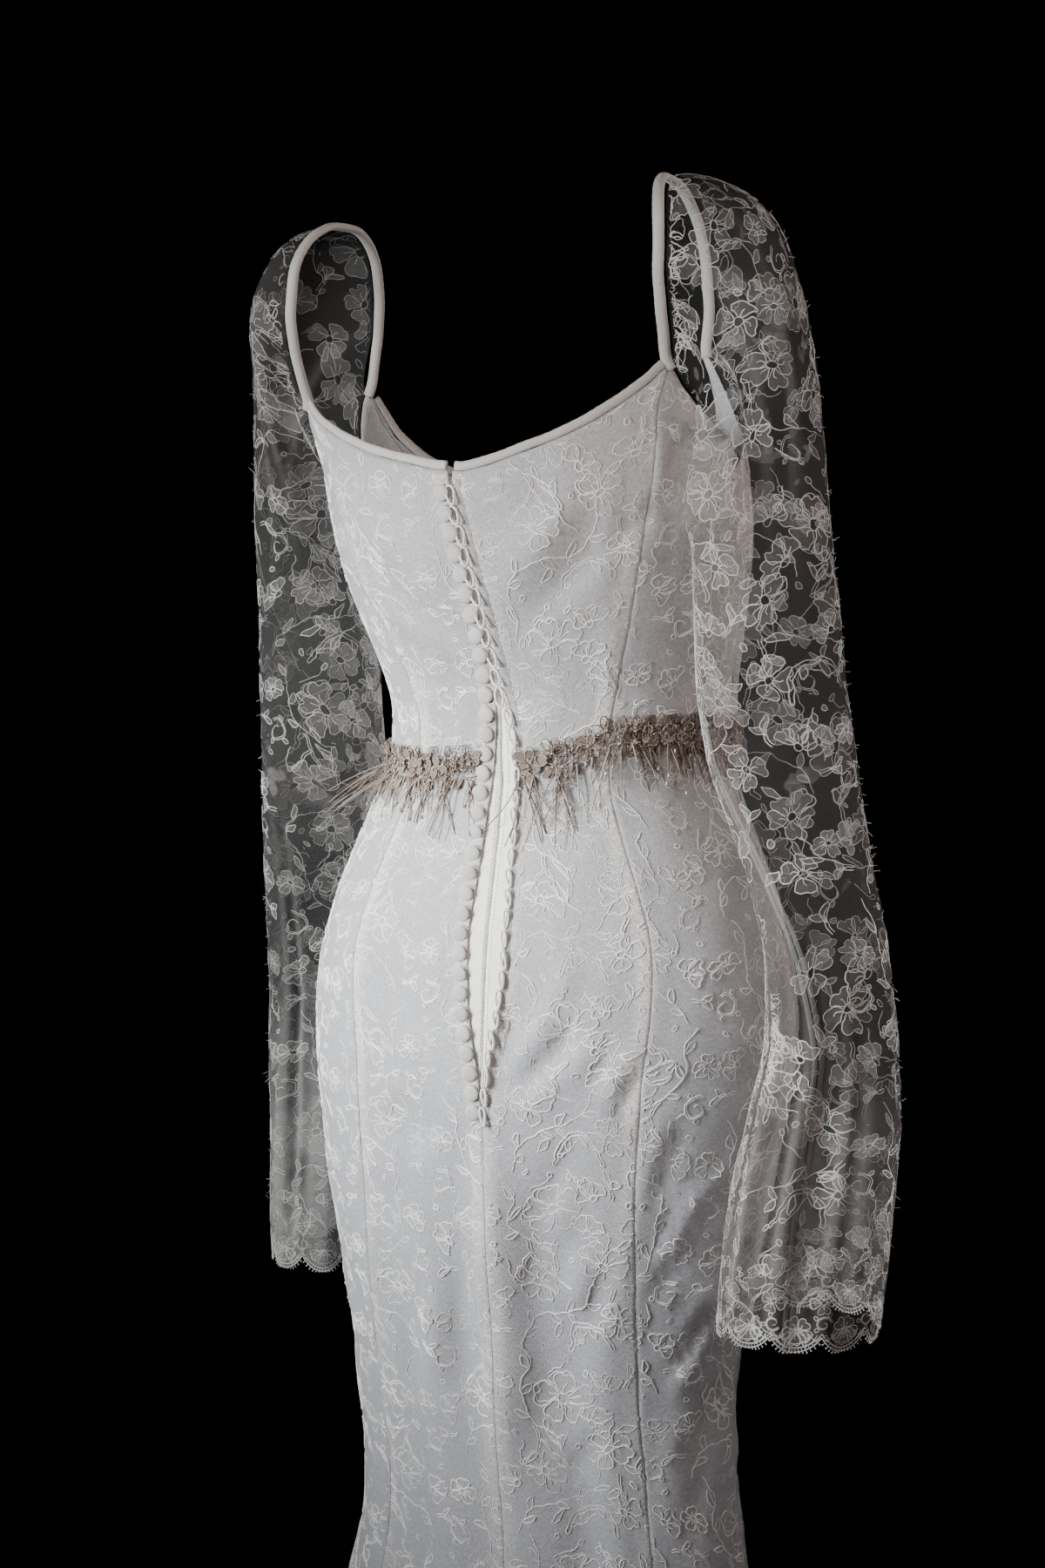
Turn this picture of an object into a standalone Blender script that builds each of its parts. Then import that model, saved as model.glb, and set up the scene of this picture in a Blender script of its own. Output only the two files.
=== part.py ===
"""Long-sleeved lace wedding dress, filled out as it is when worn and hollow inside.

Metres, +Z up, the front of the dress towards -Y, the buttoned back towards +Y
and the wearer's left towards +X.  The origin lies midway between the tops of
the two shoulder straps, where the dress hangs from the wearer's shoulders.
The dress is cut in seven full-length panels with no waist seam.  Heights in
the tables below are above the waist; the origin is HOLD_HEIGHT over the waist.
"""
import math

import bmesh
import bpy
import numpy as np
from mathutils import Vector
from mathutils.bvhtree import BVHTree

# ---------------------------------------------------------------- driving sizes
HOLD_HEIGHT = 0.400      # strap tops above the waist
HOLD_DEPTH = 0.095       # strap tops behind the middle of the waist
HEM = -1.050             # floor-length hem, below the waist
WALL = 0.0012            # satin and lace worn as one cloth
LACE_WALL = 0.0010       # sleeve lace, the least wall a cloth solid has
SEAM_GAP = 0.0003        # between neighbouring pieces
LEAN = math.radians(3.0) # the shoulder line drops towards the wearer's left

BUTTONS = 32
BUTTON_RADIUS = 0.0057
BUTTON_RISE = 0.0046
BUTTON_TOP = 0.1925      # height of the highest button
BUTTON_PITCH = 0.01445
BUTTON_INSET = 0.0060    # button centre from the edge of the left back panel
CLOSURE_END = -0.262     # foot of the back opening

BINDING = 0.0042         # half-width of the strap binding
NECK_BINDING = 0.0034    # half-width of the flat neck binding
BINDING_DEPTH = 0.0019   # its half-thickness

# one row per height: sway of the section's middle, half-width, depth to the
# back, depth to the front, squareness (2 is an ellipse)
SECTION_COLUMNS = ("z", "sway", "half", "back", "front", "square")
SECTIONS = (
    (0.34, 0.021, 0.144, 0.148, 0.000, 2.1),
    (0.30, 0.020, 0.157, 0.156, -0.022, 2.1),
    (0.26, 0.015, 0.164, 0.160, -0.046, 2.1),
    (0.22, 0.006, 0.164, 0.160, -0.066, 2.1),
    (0.16, 0.001, 0.161, 0.156, -0.083, 2.1),
    (0.12, -0.002, 0.152, 0.143, -0.087, 2.15),
    (0.08, -0.004, 0.142, 0.126, -0.088, 2.2),
    (0.04, -0.005, 0.134, 0.112, -0.088, 2.3),
    (0.00, -0.002, 0.1335, 0.1065, -0.090, 2.4),
    (-0.04, 0.002, 0.148, 0.110, -0.093, 2.3),
    (-0.08, 0.002, 0.167, 0.120, -0.096, 2.15),
    (-0.12, 0.002, 0.182, 0.129, -0.098, 2.1),
    (-0.16, 0.002, 0.193, 0.135, -0.098, 2.05),
    (-0.20, 0.002, 0.197, 0.137, -0.095, 2.0),
    (-0.24, 0.003, 0.195, 0.136, -0.092, 2.0),
    (-0.30, 0.006, 0.187, 0.130, -0.088, 2.0),
    (-0.36, 0.008, 0.178, 0.1235, -0.082, 2.0),
    (-0.42, 0.009, 0.166, 0.116, -0.074, 2.0),
    (-0.48, 0.008, 0.158, 0.111, -0.064, 2.0),
    (-0.54, 0.003, 0.156, 0.107, -0.055, 2.0),
    (-0.60, 0.000, 0.160, 0.106, -0.056, 2.0),
    (-0.68, 0.000, 0.178, 0.121, -0.068, 2.0),
    (-0.76, 0.000, 0.205, 0.150, -0.092, 2.0),
    (-0.90, 0.000, 0.265, 0.225, -0.150, 2.0),
    (-1.05, 0.000, 0.335, 0.310, -0.225, 2.0),
)

# seam lines as angles round the body: 0 is the centre back, pi the centre
# front, and the same row serves both sides
SEAM_COLUMNS = ("z", "back_princess", "side", "front_princess")
SEAMS = (
    (0.30, 1.180, 1.62, 2.06),
    (0.275, 1.110, 1.62, 2.10),
    (0.235, 0.940, 1.62, 2.22),
    (0.187, 0.861, 1.62, 2.40),
    (0.140, 0.781, 1.61, 2.50),
    (0.092, 0.700, 1.60, 2.52),
    (0.051, 0.610, 1.60, 2.56),
    (0.018, 0.552, 1.60, 2.60),
    (-0.016, 0.560, 1.60, 2.60),
    (-0.053, 0.600, 1.60, 2.56),
    (-0.089, 0.650, 1.60, 2.50),
    (-0.130, 0.688, 1.60, 2.46),
    (-0.174, 0.673, 1.60, 2.44),
    (-0.231, 0.640, 1.60, 2.44),
    (-0.300, 0.650, 1.60, 2.44),
    (-0.395, 0.705, 1.60, 2.42),
    (-0.462, 0.760, 1.60, 2.40),
    (-0.528, 0.780, 1.60, 2.38),
    (-0.600, 0.775, 1.58, 2.38),
    (-1.050, 0.785, 1.57, 2.36),
)

# the back opening: edge of the left panel, where the two placket strips meet,
# and edge of the right panel, as angles
OPENING_COLUMNS = ("z", "left", "middle", "right")
OPENING = (
    (0.215, -0.064, -0.053, -0.043),
    (0.187, -0.058, -0.048, -0.038),
    (0.166, -0.043, -0.034, -0.024),
    (0.127, -0.030, -0.020, -0.009),
    (0.087, -0.025, -0.014, -0.003),
    (0.056, -0.032, -0.016, 0.001),
    (0.030, -0.036, -0.018, 0.022),
    (0.003, -0.036, -0.012, 0.032),
    (-0.020, -0.034, 0.002, 0.055),
    (-0.053, -0.042, 0.006, 0.064),
    (-0.085, -0.053, 0.008, 0.072),
    (-0.127, -0.067, 0.006, 0.074),
    (-0.147, -0.062, 0.007, 0.075),
    (-0.180, -0.053, 0.007, 0.060),
    (-0.209, -0.031, 0.004, 0.034),
    (-0.230, -0.010, 0.006, 0.018),
    (-0.262, 0.005, 0.010, 0.013),
)
# below the opening the centre back is one seam
CENTRE_SEAM_COLUMNS = ("z", "angle")
CENTRE_SEAM = ((-0.262, 0.009), (-0.30, 0.022), (-0.40, 0.037), (-0.47, 0.040),
               (-0.54, 0.014), (-0.60, 0.008), (-1.05, 0.0))

# height of the panels' top edge: back neck, back corner, armhole, front corner,
# front neck; one row for both sides
TOP_COLUMNS = ("angle", "z")
TOP_EDGE = (
    (0.00, 0.2065), (0.10, 0.2090), (0.26, 0.2160), (0.46, 0.2255), (0.68, 0.2395),
    (0.94, 0.2585), (1.11, 0.2710),
    (1.18, 0.2560), (1.27, 0.2410), (1.42, 0.2270), (1.60, 0.2210), (1.76, 0.2260),
    (1.90, 0.2500), (2.06, 0.2890),
    (2.16, 0.2600), (2.30, 0.2360), (2.55, 0.2180), (2.85, 0.2080), (3.1416, 0.2040),
)
BACK_CORNER = 1.11
FRONT_CORNER = 2.06

# path of a strap over the shoulder, drawn for the wearer's right: x, y and
# height, from the back corner over the top to the front corner, and how far
# both straps lean towards the wearer's left with the body
STRAP_COLUMNS = ("phi", "x", "y", "z", "lean")
STRAP = (
    (112.0, -0.1450, 0.1085, 0.2745, 0.0165),
    (98.0, -0.1462, 0.1290, 0.3010, 0.0125),
    (82.0, -0.1455, 0.1490, 0.3330, 0.0065),
    (62.0, -0.1430, 0.1560, 0.3640, 0.0010),
    (42.0, -0.1370, 0.1430, 0.3880, 0.0000),
    (20.0, -0.1315, 0.1190, 0.3990, 0.0000),
    (0.0, -0.1290, 0.0950, 0.4000, 0.0000),
    (-22.0, -0.1300, 0.0680, 0.3910, 0.0010),
    (-45.0, -0.1335, 0.0440, 0.3680, 0.0040),
    (-68.0, -0.1370, 0.0290, 0.3380, 0.0090),
    (-90.0, -0.1400, 0.0210, 0.3130, 0.0140),
    (-112.0, -0.1405, 0.0185, 0.2945, 0.0180),
)
# where the sleeve is set into the body's armhole: ring angle, body angle
ARMHOLE_COLUMNS = ("phi", "angle")
ARMHOLE = ((112.0, 1.110), (128.0, 1.180), (145.0, 1.270), (163.0, 1.430),
           (180.0, 1.600), (198.0, 1.740), (218.0, 1.870), (248.0, 2.060))

# each sleeve below the armhole: height, outer edge x and y, inner edge x and y,
# half-depth across the arm
SLEEVE_COLUMNS = ("z", "outer_x", "outer_y", "inner_x", "inner_y", "half_depth")
SLEEVE_RIGHT = (
    (0.160, -0.2424, 0.084, -0.1490, 0.106, 0.036),
    (0.110, -0.2472, 0.082, -0.1485, 0.104, 0.037),
    (0.060, -0.2518, 0.079, -0.1492, 0.100, 0.038),
    (0.010, -0.2570, 0.074, -0.1543, 0.094, 0.038),
    (-0.040, -0.2634, 0.067, -0.1710, 0.094, 0.036),
    (-0.090, -0.2700, 0.058, -0.1918, 0.100, 0.034),
    (-0.140, -0.2738, 0.048, -0.2066, 0.108, 0.034),
    (-0.190, -0.2764, 0.040, -0.2105, 0.114, 0.037),
    (-0.240, -0.2765, 0.034, -0.2008, 0.118, 0.042),
    (-0.290, -0.2733, 0.030, -0.1902, 0.118, 0.046),
    (-0.340, -0.2687, 0.028, -0.1813, 0.114, 0.050),
    (-0.375, -0.2640, 0.027, -0.1765, 0.110, 0.052),
    (-0.405, -0.2600, 0.026, -0.1735, 0.107, 0.054),
)
SLEEVE_LEFT = (
    (0.160, 0.2400, 0.060, 0.1720, 0.026, 0.034),
    (0.110, 0.2400, 0.056, 0.1600, 0.028, 0.036),
    (0.060, 0.2413, 0.050, 0.1460, 0.030, 0.038),
    (0.010, 0.2456, 0.044, 0.1476, 0.022, 0.038),
    (-0.040, 0.2520, 0.036, 0.1640, 0.004, 0.036),
    (-0.090, 0.2559, 0.028, 0.1850, -0.014, 0.034),
    (-0.140, 0.2581, 0.020, 0.2020, -0.030, 0.034),
    (-0.190, 0.2590, 0.014, 0.2120, -0.036, 0.036),
    (-0.240, 0.2628, 0.010, 0.2110, -0.038, 0.040),
    (-0.290, 0.2645, 0.008, 0.2075, -0.038, 0.044),
    (-0.340, 0.2662, 0.006, 0.2030, -0.036, 0.048),
    (-0.385, 0.2658, 0.006, 0.1960, -0.034, 0.051),
    (-0.424, 0.2640, 0.006, 0.1900, -0.031, 0.053),
)

# waist braid: angle round the body (minus is the wearer's left), lower and
# upper edge, and the foot of the fringe below it
BRAID_COLUMNS = ("angle", "low", "high", "fringe")
BRAID = (
    (-3.1416, -0.010, 0.010, -0.040),
    (-2.40, -0.012, 0.008, -0.044),
    (-1.60, -0.014, 0.010, -0.050),
    (-1.10, -0.017, 0.008, -0.048),
    (-0.60, -0.018, 0.005, -0.044),
    (-0.30, -0.018, 0.006, -0.058),
    (-0.06, -0.017, 0.007, -0.046),
    (0.07, -0.013, 0.005, -0.062),
    (0.25, -0.007, 0.012, -0.060),
    (0.44, 0.001, 0.019, -0.050),
    (0.56, 0.007, 0.027, -0.036),
    (0.80, 0.008, 0.027, -0.028),
    (1.20, 0.008, 0.028, -0.026),
    (1.60, 0.006, 0.026, -0.026),
    (2.40, -0.004, 0.016, -0.034),
    (3.1416, -0.010, 0.010, -0.040),
)

# the largest folds of the skirt and bodice: angle and height of both ends,
# half-width and how far the cloth stands out (a trough is negative)
FOLD_COLUMNS = ("angle_top", "z_top", "angle_foot", "z_foot", "width", "rise")
FOLDS = (
    (0.06, -0.30, 0.16, -0.66, 0.020, 0.0030),
    (0.34, -0.26, 0.44, -0.68, 0.018, -0.0040),
    (0.58, -0.30, 0.62, -0.66, 0.016, 0.0020),
    (1.55, -0.28, 1.05, -0.44, 0.020, 0.0030),
    (1.62, -0.36, 1.10, -0.56, 0.018, -0.0030),
    (-0.30, -0.30, -0.26, -0.66, 0.022, 0.0022),
    (-1.10, -0.34, -0.70, -0.60, 0.020, -0.0026),
    (1.02, 0.19, 0.18, 0.10, 0.014, -0.0024),
    (-1.10, 0.15, -0.20, 0.06, 0.014, -0.0026),
    (2.60, -0.34, 2.75, -0.66, 0.022, -0.0030),
    (-2.60, -0.36, -2.85, -0.64, 0.022, -0.0030),
)
FLUTES = 9               # soft flutes round the hem
FLUTE_RISE = 0.021       # how far they stand out at the hem
FLUTE_START = -0.56

# ------------------------------------------------------------------ materials
SATIN = ("ivory_satin", (0.80, 0.79, 0.77), 0.55)
LACE = ("ivory_lace", (0.84, 0.83, 0.81), 0.75)
BIAS = ("bias_binding", (0.79, 0.75, 0.70), 0.65)
PLACKET = ("placket_satin", (0.82, 0.79, 0.72), 0.50)
COVERED = ("covered_button", (0.80, 0.77, 0.72), 0.55)
TRIM = ("waist_braid", (0.36, 0.29, 0.24), 0.60)


# ------------------------------------------------------------------ functions
def curve_through(xs, ys):
    """A smooth curve through the rows that doesn't swing past them."""
    xs = np.asarray(xs, float)
    ys = np.asarray(ys, float)
    order = np.argsort(xs)
    xs, ys = xs[order], ys[order]
    h = np.diff(xs)
    d = np.diff(ys) / h
    m = np.zeros_like(xs)
    for i in range(1, len(xs) - 1):
        if d[i - 1] * d[i] > 0:
            w1, w2 = 2 * h[i] + h[i - 1], h[i] + 2 * h[i - 1]
            m[i] = (w1 + w2) / (w1 / d[i - 1] + w2 / d[i])
    m[0], m[-1] = d[0], d[-1]

    def at(x):
        x = np.clip(np.asarray(x, float), xs[0], xs[-1])
        i = np.clip(np.searchsorted(xs, x) - 1, 0, len(h) - 1)
        t = (x - xs[i]) / h[i]
        return ((1 + 2 * t) * (1 - t) ** 2 * ys[i] + t * (1 - t) ** 2 * h[i] * m[i]
                + t * t * (3 - 2 * t) * ys[i + 1] + t * t * (t - 1) * h[i] * m[i + 1])
    return at


def columns(rows):
    table = np.array(rows, float)
    return [curve_through(table[:, 0], table[:, k]) for k in range(1, table.shape[1])]


sway, half, back, front, square = columns(SECTIONS)
back_princess, side_seam, front_princess = columns(SEAMS)
open_left, open_middle, open_right = columns(OPENING)
centre_seam, = columns(CENTRE_SEAM)
top_edge, = columns(TOP_EDGE)
braid_low, braid_high, fringe_foot = columns(BRAID)


def step(a, b, x):
    t = np.clip((np.asarray(x, float) - a) / (b - a), 0, 1)
    return t * t * (3 - 2 * t)


def around(angle):
    """The angle brought to between -pi and pi."""
    return (np.asarray(angle) + math.pi) % (2 * math.pi) - math.pi


def section(angle, z):
    """x and y of the figure at one height, with the cups of the bust."""
    cy = (back(z) + front(z)) / 2
    b = (back(z) - front(z)) / 2
    s, c = np.sin(angle), np.cos(angle)
    x = sway(z) - half(z) * np.sign(s) * np.abs(s) ** (2 / square(z))
    y = cy + b * np.sign(c) * np.abs(c) ** (2 / square(z))
    turn = np.abs(around(angle))
    cup = 0.016 * np.exp(-((turn - 2.55) / 0.36) ** 2 - ((z - 0.165) / 0.06) ** 2)
    k = 1 + cup / np.maximum(np.hypot(x, y - 0.03), 1e-6)
    return x * k, 0.03 + (y - 0.03) * k


def folds(angle, z):
    """How far the cloth stands out of the figure: folds, then hem flutes."""
    rise = np.zeros(np.broadcast(angle, z).shape)
    for t0, z0, t1, z1, width, height in FOLDS:
        u = (z0 - z) / (z0 - z1)
        inside = np.clip(u, 0, 1)
        line = t0 + (t1 - t0) * inside
        away = around(angle - line) * half(z)
        ease = step(-0.25, 0.3, u) * (1 - step(0.75, 1.25, u))
        rise = rise + height * ease * np.exp(-(away / width) ** 2)
    grow = step(FLUTE_START, HEM, z) ** 1.2
    rise = rise + FLUTE_RISE * grow * (0.75 * np.cos(FLUTES * angle + 0.5)
                                       + 0.25 * np.cos(5 * angle + 1.9))
    return rise


def tilt(points):
    points = np.array(points, float)
    z = points[..., 2]
    points[..., 2] = z - LEAN * step(-0.05, 0.12, z) * points[..., 0]
    return points


def cloth(angle, z, out=0.0):
    """A point of the dress, moved out from the cloth's outer face."""
    angle, z, out = np.broadcast_arrays(np.asarray(angle, float), np.asarray(z, float),
                                        np.asarray(out, float))
    x, y = section(angle, z)
    x1, y1 = section(angle + 2e-3, z)
    x0, y0 = section(angle - 2e-3, z)
    tx, ty = x1 - x0, y1 - y0
    length = np.hypot(tx, ty)
    out = out + folds(angle, z)
    return tilt(np.stack([x + ty / length * out, y - tx / length * out, z], -1))


def place(points):
    """From heights above the waist to the dress's own origin."""
    return np.asarray(points, float) - np.array([0.0, HOLD_DEPTH, HOLD_HEIGHT])


def material(style):
    name, colour, roughness = style
    mat = bpy.data.materials.get(name)
    if mat is None:
        mat = bpy.data.materials.new(name)
        mat.use_nodes = True
        shader = mat.node_tree.nodes["Principled BSDF"]
        shader.inputs["Base Color"].default_value = (*colour, 1.0)
        shader.inputs["Roughness"].default_value = roughness
        shader.inputs["Metallic"].default_value = 0.0
        mat.diffuse_color = (*colour, 1.0)
    return mat


def new_object(name, points, faces, style):
    mesh = bpy.data.meshes.new(name)
    mesh.from_pydata([tuple(p) for p in place(points)], [], faces)
    mesh.materials.append(material(style))
    mesh.shade_smooth()
    mesh.set_sharp_from_angle(angle=math.radians(50))
    obj = bpy.data.objects.new(name, mesh)
    PARTS.objects.link(obj)
    return obj


def grid_faces(rows, cols, closed=False):
    faces = []
    for i in range(rows - 1):
        for j in range(cols if closed else cols - 1):
            k = (j + 1) % cols
            faces.append((i * cols + j, i * cols + k, (i + 1) * cols + k, (i + 1) * cols + j))
    return faces


def sheet(name, grid, thickness, style, closed=False, flip=False):
    """An open loft through the grid, made a wall on its inner side."""
    rows, cols = grid.shape[:2]
    faces = grid_faces(rows, cols, closed)
    if flip:
        faces = [f[::-1] for f in faces]
    obj = new_object(name, grid.reshape(-1, 3), faces, style)
    wall = obj.modifiers.new("wall", "SOLIDIFY")
    wall.thickness = thickness
    wall.offset = -1.0
    wall.use_even_offset = False
    return obj


def halves(rows, cols):
    """Each cell of a grid as two triangles."""
    faces = []
    for a, b, c, d in grid_faces(rows, cols):
        faces += [(a, b, c), (a, c, d)]
    return faces


def wall(name, outer, inner, style):
    """A closed wall between two lofts with the same rows and columns."""
    rows, cols = outer.shape[:2]
    shift = rows * cols
    faces = halves(rows, cols)
    faces += [tuple(i + shift for i in f[::-1]) for f in faces]
    loop = ([j for j in range(cols)] + [i * cols + cols - 1 for i in range(1, rows)]
            + [(rows - 1) * cols + j for j in range(cols - 2, -1, -1)]
            + [i * cols for i in range(rows - 2, 0, -1)])
    for a, b in zip(loop, loop[1:] + loop[:1]):
        faces += [(b, a, a + shift), (b, a + shift, b + shift)]
    points = np.concatenate([outer.reshape(-1, 3), inner.reshape(-1, 3)])
    return fix_normals(new_object(name, points, faces, style))


def fix_normals(obj):
    mesh = bmesh.new()
    mesh.from_mesh(obj.data)
    bmesh.ops.recalc_face_normals(mesh, faces=mesh.faces)
    mesh.to_mesh(obj.data)
    mesh.free()
    return obj


def welt(name, path, sides, wide, deep, style, ring=8):
    """A rounded binding: an oval section carried along a path of points."""
    path = np.asarray(path, float)
    sides = np.asarray(sides, float)
    along = np.gradient(path, axis=0)
    along /= np.linalg.norm(along, axis=1)[:, None]
    across = sides - (sides * along).sum(1)[:, None] * along
    across /= np.linalg.norm(across, axis=1)[:, None]
    outward = np.cross(along, across)
    points = []
    for k in range(ring):
        turn = 2 * math.pi * (k + 0.5) / ring
        points.append(path + across * wide * math.cos(turn) + outward * deep * math.sin(turn))
    points = np.stack(points, 1)
    rows = len(path)
    faces = grid_faces(rows, ring, True)
    faces.append(tuple(range(ring)))
    faces.append(tuple((rows - 1) * ring + k for k in range(ring)))
    return fix_normals(new_object(name, points.reshape(-1, 3), faces, style))


# ------------------------------------------------------------------ the panels
NECK_ROWS = (0.0, 0.38, 0.72)      # shares of the way from the top edge to LEVEL
LEVEL = 0.165
HEIGHTS = (0.165, 0.127, 0.090, 0.058, 0.030, 0.005, -0.018, -0.042, -0.072, -0.108,
           -0.150, -0.200, CLOSURE_END, -0.335, -0.410, -0.485, -0.555, -0.625, -0.70,
           -0.78, -0.87, -0.96, HEM)


def closure_edge(z, which):
    """Edge of a back panel at the centre back: the opening, then the seam."""
    edge = {"left": open_left, "right": open_right}[which](z)
    sign = -1 if which == "left" else 1
    seam = centre_seam(z) + sign * SEAM_GAP / 2 / half(z)
    return np.where(z > CLOSURE_END, edge, seam)


def seam_edge(curve, z, sign, gap):
    return sign * curve(z) + gap / half(z)


def panel(name, left_edge, right_edge, cols):
    """One full-length panel between two seam lines, as a wall."""
    left_edge_top = panel_top(left_edge)
    right_edge_top = panel_top(right_edge)
    rows = len(NECK_ROWS) + len(HEIGHTS)
    outer, inner = np.zeros((rows, cols, 3)), np.zeros((rows, cols, 3))
    for j in range(cols):
        u = j / (cols - 1)
        # the top of this column lies on the neck or armhole edge
        z_top = left_edge_top + (right_edge_top - left_edge_top) * u
        for _ in range(12):
            angle = left_edge(z_top) + (right_edge(z_top) - left_edge(z_top)) * u
            z_top = 0.5 * z_top + 0.5 * top_edge(np.abs(around(angle)))
        z = np.concatenate([z_top + (LEVEL - z_top) * np.array(NECK_ROWS), HEIGHTS])
        angle = left_edge(z) + (right_edge(z) - left_edge(z)) * u
        outer[:, j] = cloth(angle, z)
        inner[:, j] = cloth(angle, z, -WALL)
        EDGES[name, j] = (angle, z)
    TOPS[name] = (outer[0] + inner[0]) / 2
    base = len(SKIN[0])
    SKIN[0].extend(Vector(p) for p in outer.reshape(-1, 3))
    SKIN[1].extend(tuple(i + base for i in f) for f in halves(rows, cols))
    return wall(name, outer, inner, SATIN)


def panel_top(edge):
    z = 0.23
    for _ in range(30):
        z = 0.5 * z + 0.5 * float(top_edge(abs(float(around(edge(z))))))
    return z


def clear_scene():
    for obj in list(bpy.data.objects):
        bpy.data.objects.remove(obj, do_unlink=True)


clear_scene()
PARTS = bpy.data.collections.new("wedding_dress")
bpy.context.scene.collection.children.link(PARTS)

TOPS = {}                # the top edge of each panel, for what is bound to it
EDGES = {}               # angles and heights down each column of each panel
SKIN = ([], [])          # the outer faces of all the panels, for what lies on them
g = SEAM_GAP / 2
panel("centre_back_L", lambda z: seam_edge(back_princess, z, -1, g),
      lambda z: closure_edge(z, "left"), 7)
panel("centre_back_R", lambda z: closure_edge(z, "right"),
      lambda z: seam_edge(back_princess, z, 1, -g), 7)
panel("side_back_L", lambda z: seam_edge(side_seam, z, -1, g),
      lambda z: seam_edge(back_princess, z, -1, -g), 6)
panel("side_back_R", lambda z: seam_edge(back_princess, z, 1, g),
      lambda z: seam_edge(side_seam, z, 1, -g), 6)
panel("side_front_L", lambda z: seam_edge(front_princess, z, -1, g),
      lambda z: seam_edge(side_seam, z, -1, -g), 6)
panel("side_front_R", lambda z: seam_edge(side_seam, z, 1, g),
      lambda z: seam_edge(front_princess, z, 1, -g), 6)
panel("centre_front", lambda z: seam_edge(front_princess, z, 1, g),
      lambda z: 2 * math.pi - front_princess(z) - g / half(z), 7)


FACES = BVHTree.FromPolygons(*SKIN)


def on_cloth(angle, z, out):
    """A point over the panels' own faces, and the direction away from them."""
    near, far = cloth(angle, z, 0.0), cloth(angle, z, 0.02)
    away = Vector(far - near).normalized()
    hit, normal, _, _ = FACES.ray_cast(Vector(far), -away)
    if hit is None:
        hit, normal = Vector(near), away
    if normal.dot(away) < 0:
        normal = -normal
    return np.array(hit + away * out), np.array(normal)


# ----------------------------------------------------------------- the sleeves
def strap_point(phi, side):
    """A point of a strap's middle line before the body's tilt; side is 1 on the left."""
    x, y, z, lean = (curve(phi) for curve in columns(STRAP))
    return np.stack([lean - side * x, y, z], -1)


def armhole_ring(phi, side):
    """The edge that the sleeve lace starts from: beside the strap binding and
    just over the bodice's armhole.  phi is 0 on the shoulder, 180 under the arm."""
    hole = np.array(ARMHOLE, float)
    phi = (np.asarray(phi, float) + 112.0) % 360.0 - 112.0
    points = []
    for f in phi:
        if f <= 112.0:
            beside = BINDING + SEAM_GAP + 0.0013 + 0.0022 * step(-70.0, -95.0, f)
            points.append(tilt(strap_point(f, side) + np.array([side * beside, 0.0, 0.0])))
        else:
            angle = curve_through(hole[:, 0], hole[:, 1])(f)
            z = top_edge(angle) + 0.0016
            points.append(cloth(-side * angle, z, 0.0010))
    return np.array(points)


def sleeve_ring(row, phi):
    z, ox, oy, ix, iy, deep = row
    outer, inner = np.array([ox, oy, z]), np.array([ix, iy, z])
    middle, arm = (outer + inner) / 2, (outer - inner) / 2
    flat = np.array([-arm[1], arm[0], 0.0])
    flat *= deep / np.linalg.norm(flat)
    if flat[1] < 0:
        flat = -flat
    turn = np.radians(phi)[:, None]
    return middle + arm * np.cos(turn) + flat * np.sin(turn)


SLEEVE_AROUND = 18
CAP_ROWS = (0.0, 0.10, 0.22, 0.36, 0.52, 0.68, 0.84)


def sleeve(name, side, table):
    phi = 360.0 * np.arange(SLEEVE_AROUND) / SLEEVE_AROUND
    start = armhole_ring(phi, side)
    first = sleeve_ring(table[0], phi)
    second = sleeve_ring(table[1], phi)
    crown = ((1 + np.cos(np.radians(phi))) / 2)[:, None]
    wide, lift = (0.255, 0.020) if side < 0 else (0.225, -0.010)
    leave = np.concatenate([side * (0.055 + (wide - 0.02) * crown), 0 * crown,
                            lift * crown - 0.010 * (1 - crown)], 1)
    arrive = second - first
    arrive /= np.linalg.norm(arrive, axis=1)[:, None]
    arrive = arrive * (0.060 + 0.220 * crown)
    rows = []
    for t in CAP_ROWS:
        rows.append((1 + 2 * t) * (1 - t) ** 2 * start + t * (1 - t) ** 2 * leave
                    + t * t * (3 - 2 * t) * first + t * t * (t - 1) * arrive)
    for row in table:
        rows.append(sleeve_ring(row, phi))
    grid = np.array(rows)
    return sheet(name, grid, LACE_WALL, LACE, closed=True, flip=side > 0)


sleeve("sleeve_R", -1, SLEEVE_RIGHT)
sleeve("sleeve_L", 1, SLEEVE_LEFT)

# ---------------------------------------------------------------- the bindings
def strap_path(side, count):
    return tilt(strap_point(np.linspace(112.0, -112.0, count), side))


for tag, side in (("L", 1), ("R", -1)):
    path = strap_path(side, 18)
    welt("strap_binding_" + tag, path, np.tile([side, 0.0, 0.0], (len(path), 1)),
         BINDING, 0.0032, BIAS)


def bound_edge(edge, cut):
    """A neck binding's middle line, just over the cut edge of the cloth.  cut is
    how far it stops from each end, to leave room for what it meets there."""
    edge = np.array(edge, float)
    for end, near, short in ((0, 1, cut[0]), (-1, -2, cut[1])):
        step_in = edge[near] - edge[end]
        edge[end] += step_in * short / np.linalg.norm(step_in)
    along = np.gradient(edge, axis=0)
    along /= np.linalg.norm(along, axis=1)[:, None]
    up = np.array([0.0, 0.0, 1.0]) - along * along[:, 2:]
    up /= np.linalg.norm(up, axis=1)[:, None]
    return edge + up * (NECK_BINDING + 2 * SEAM_GAP), up


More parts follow.
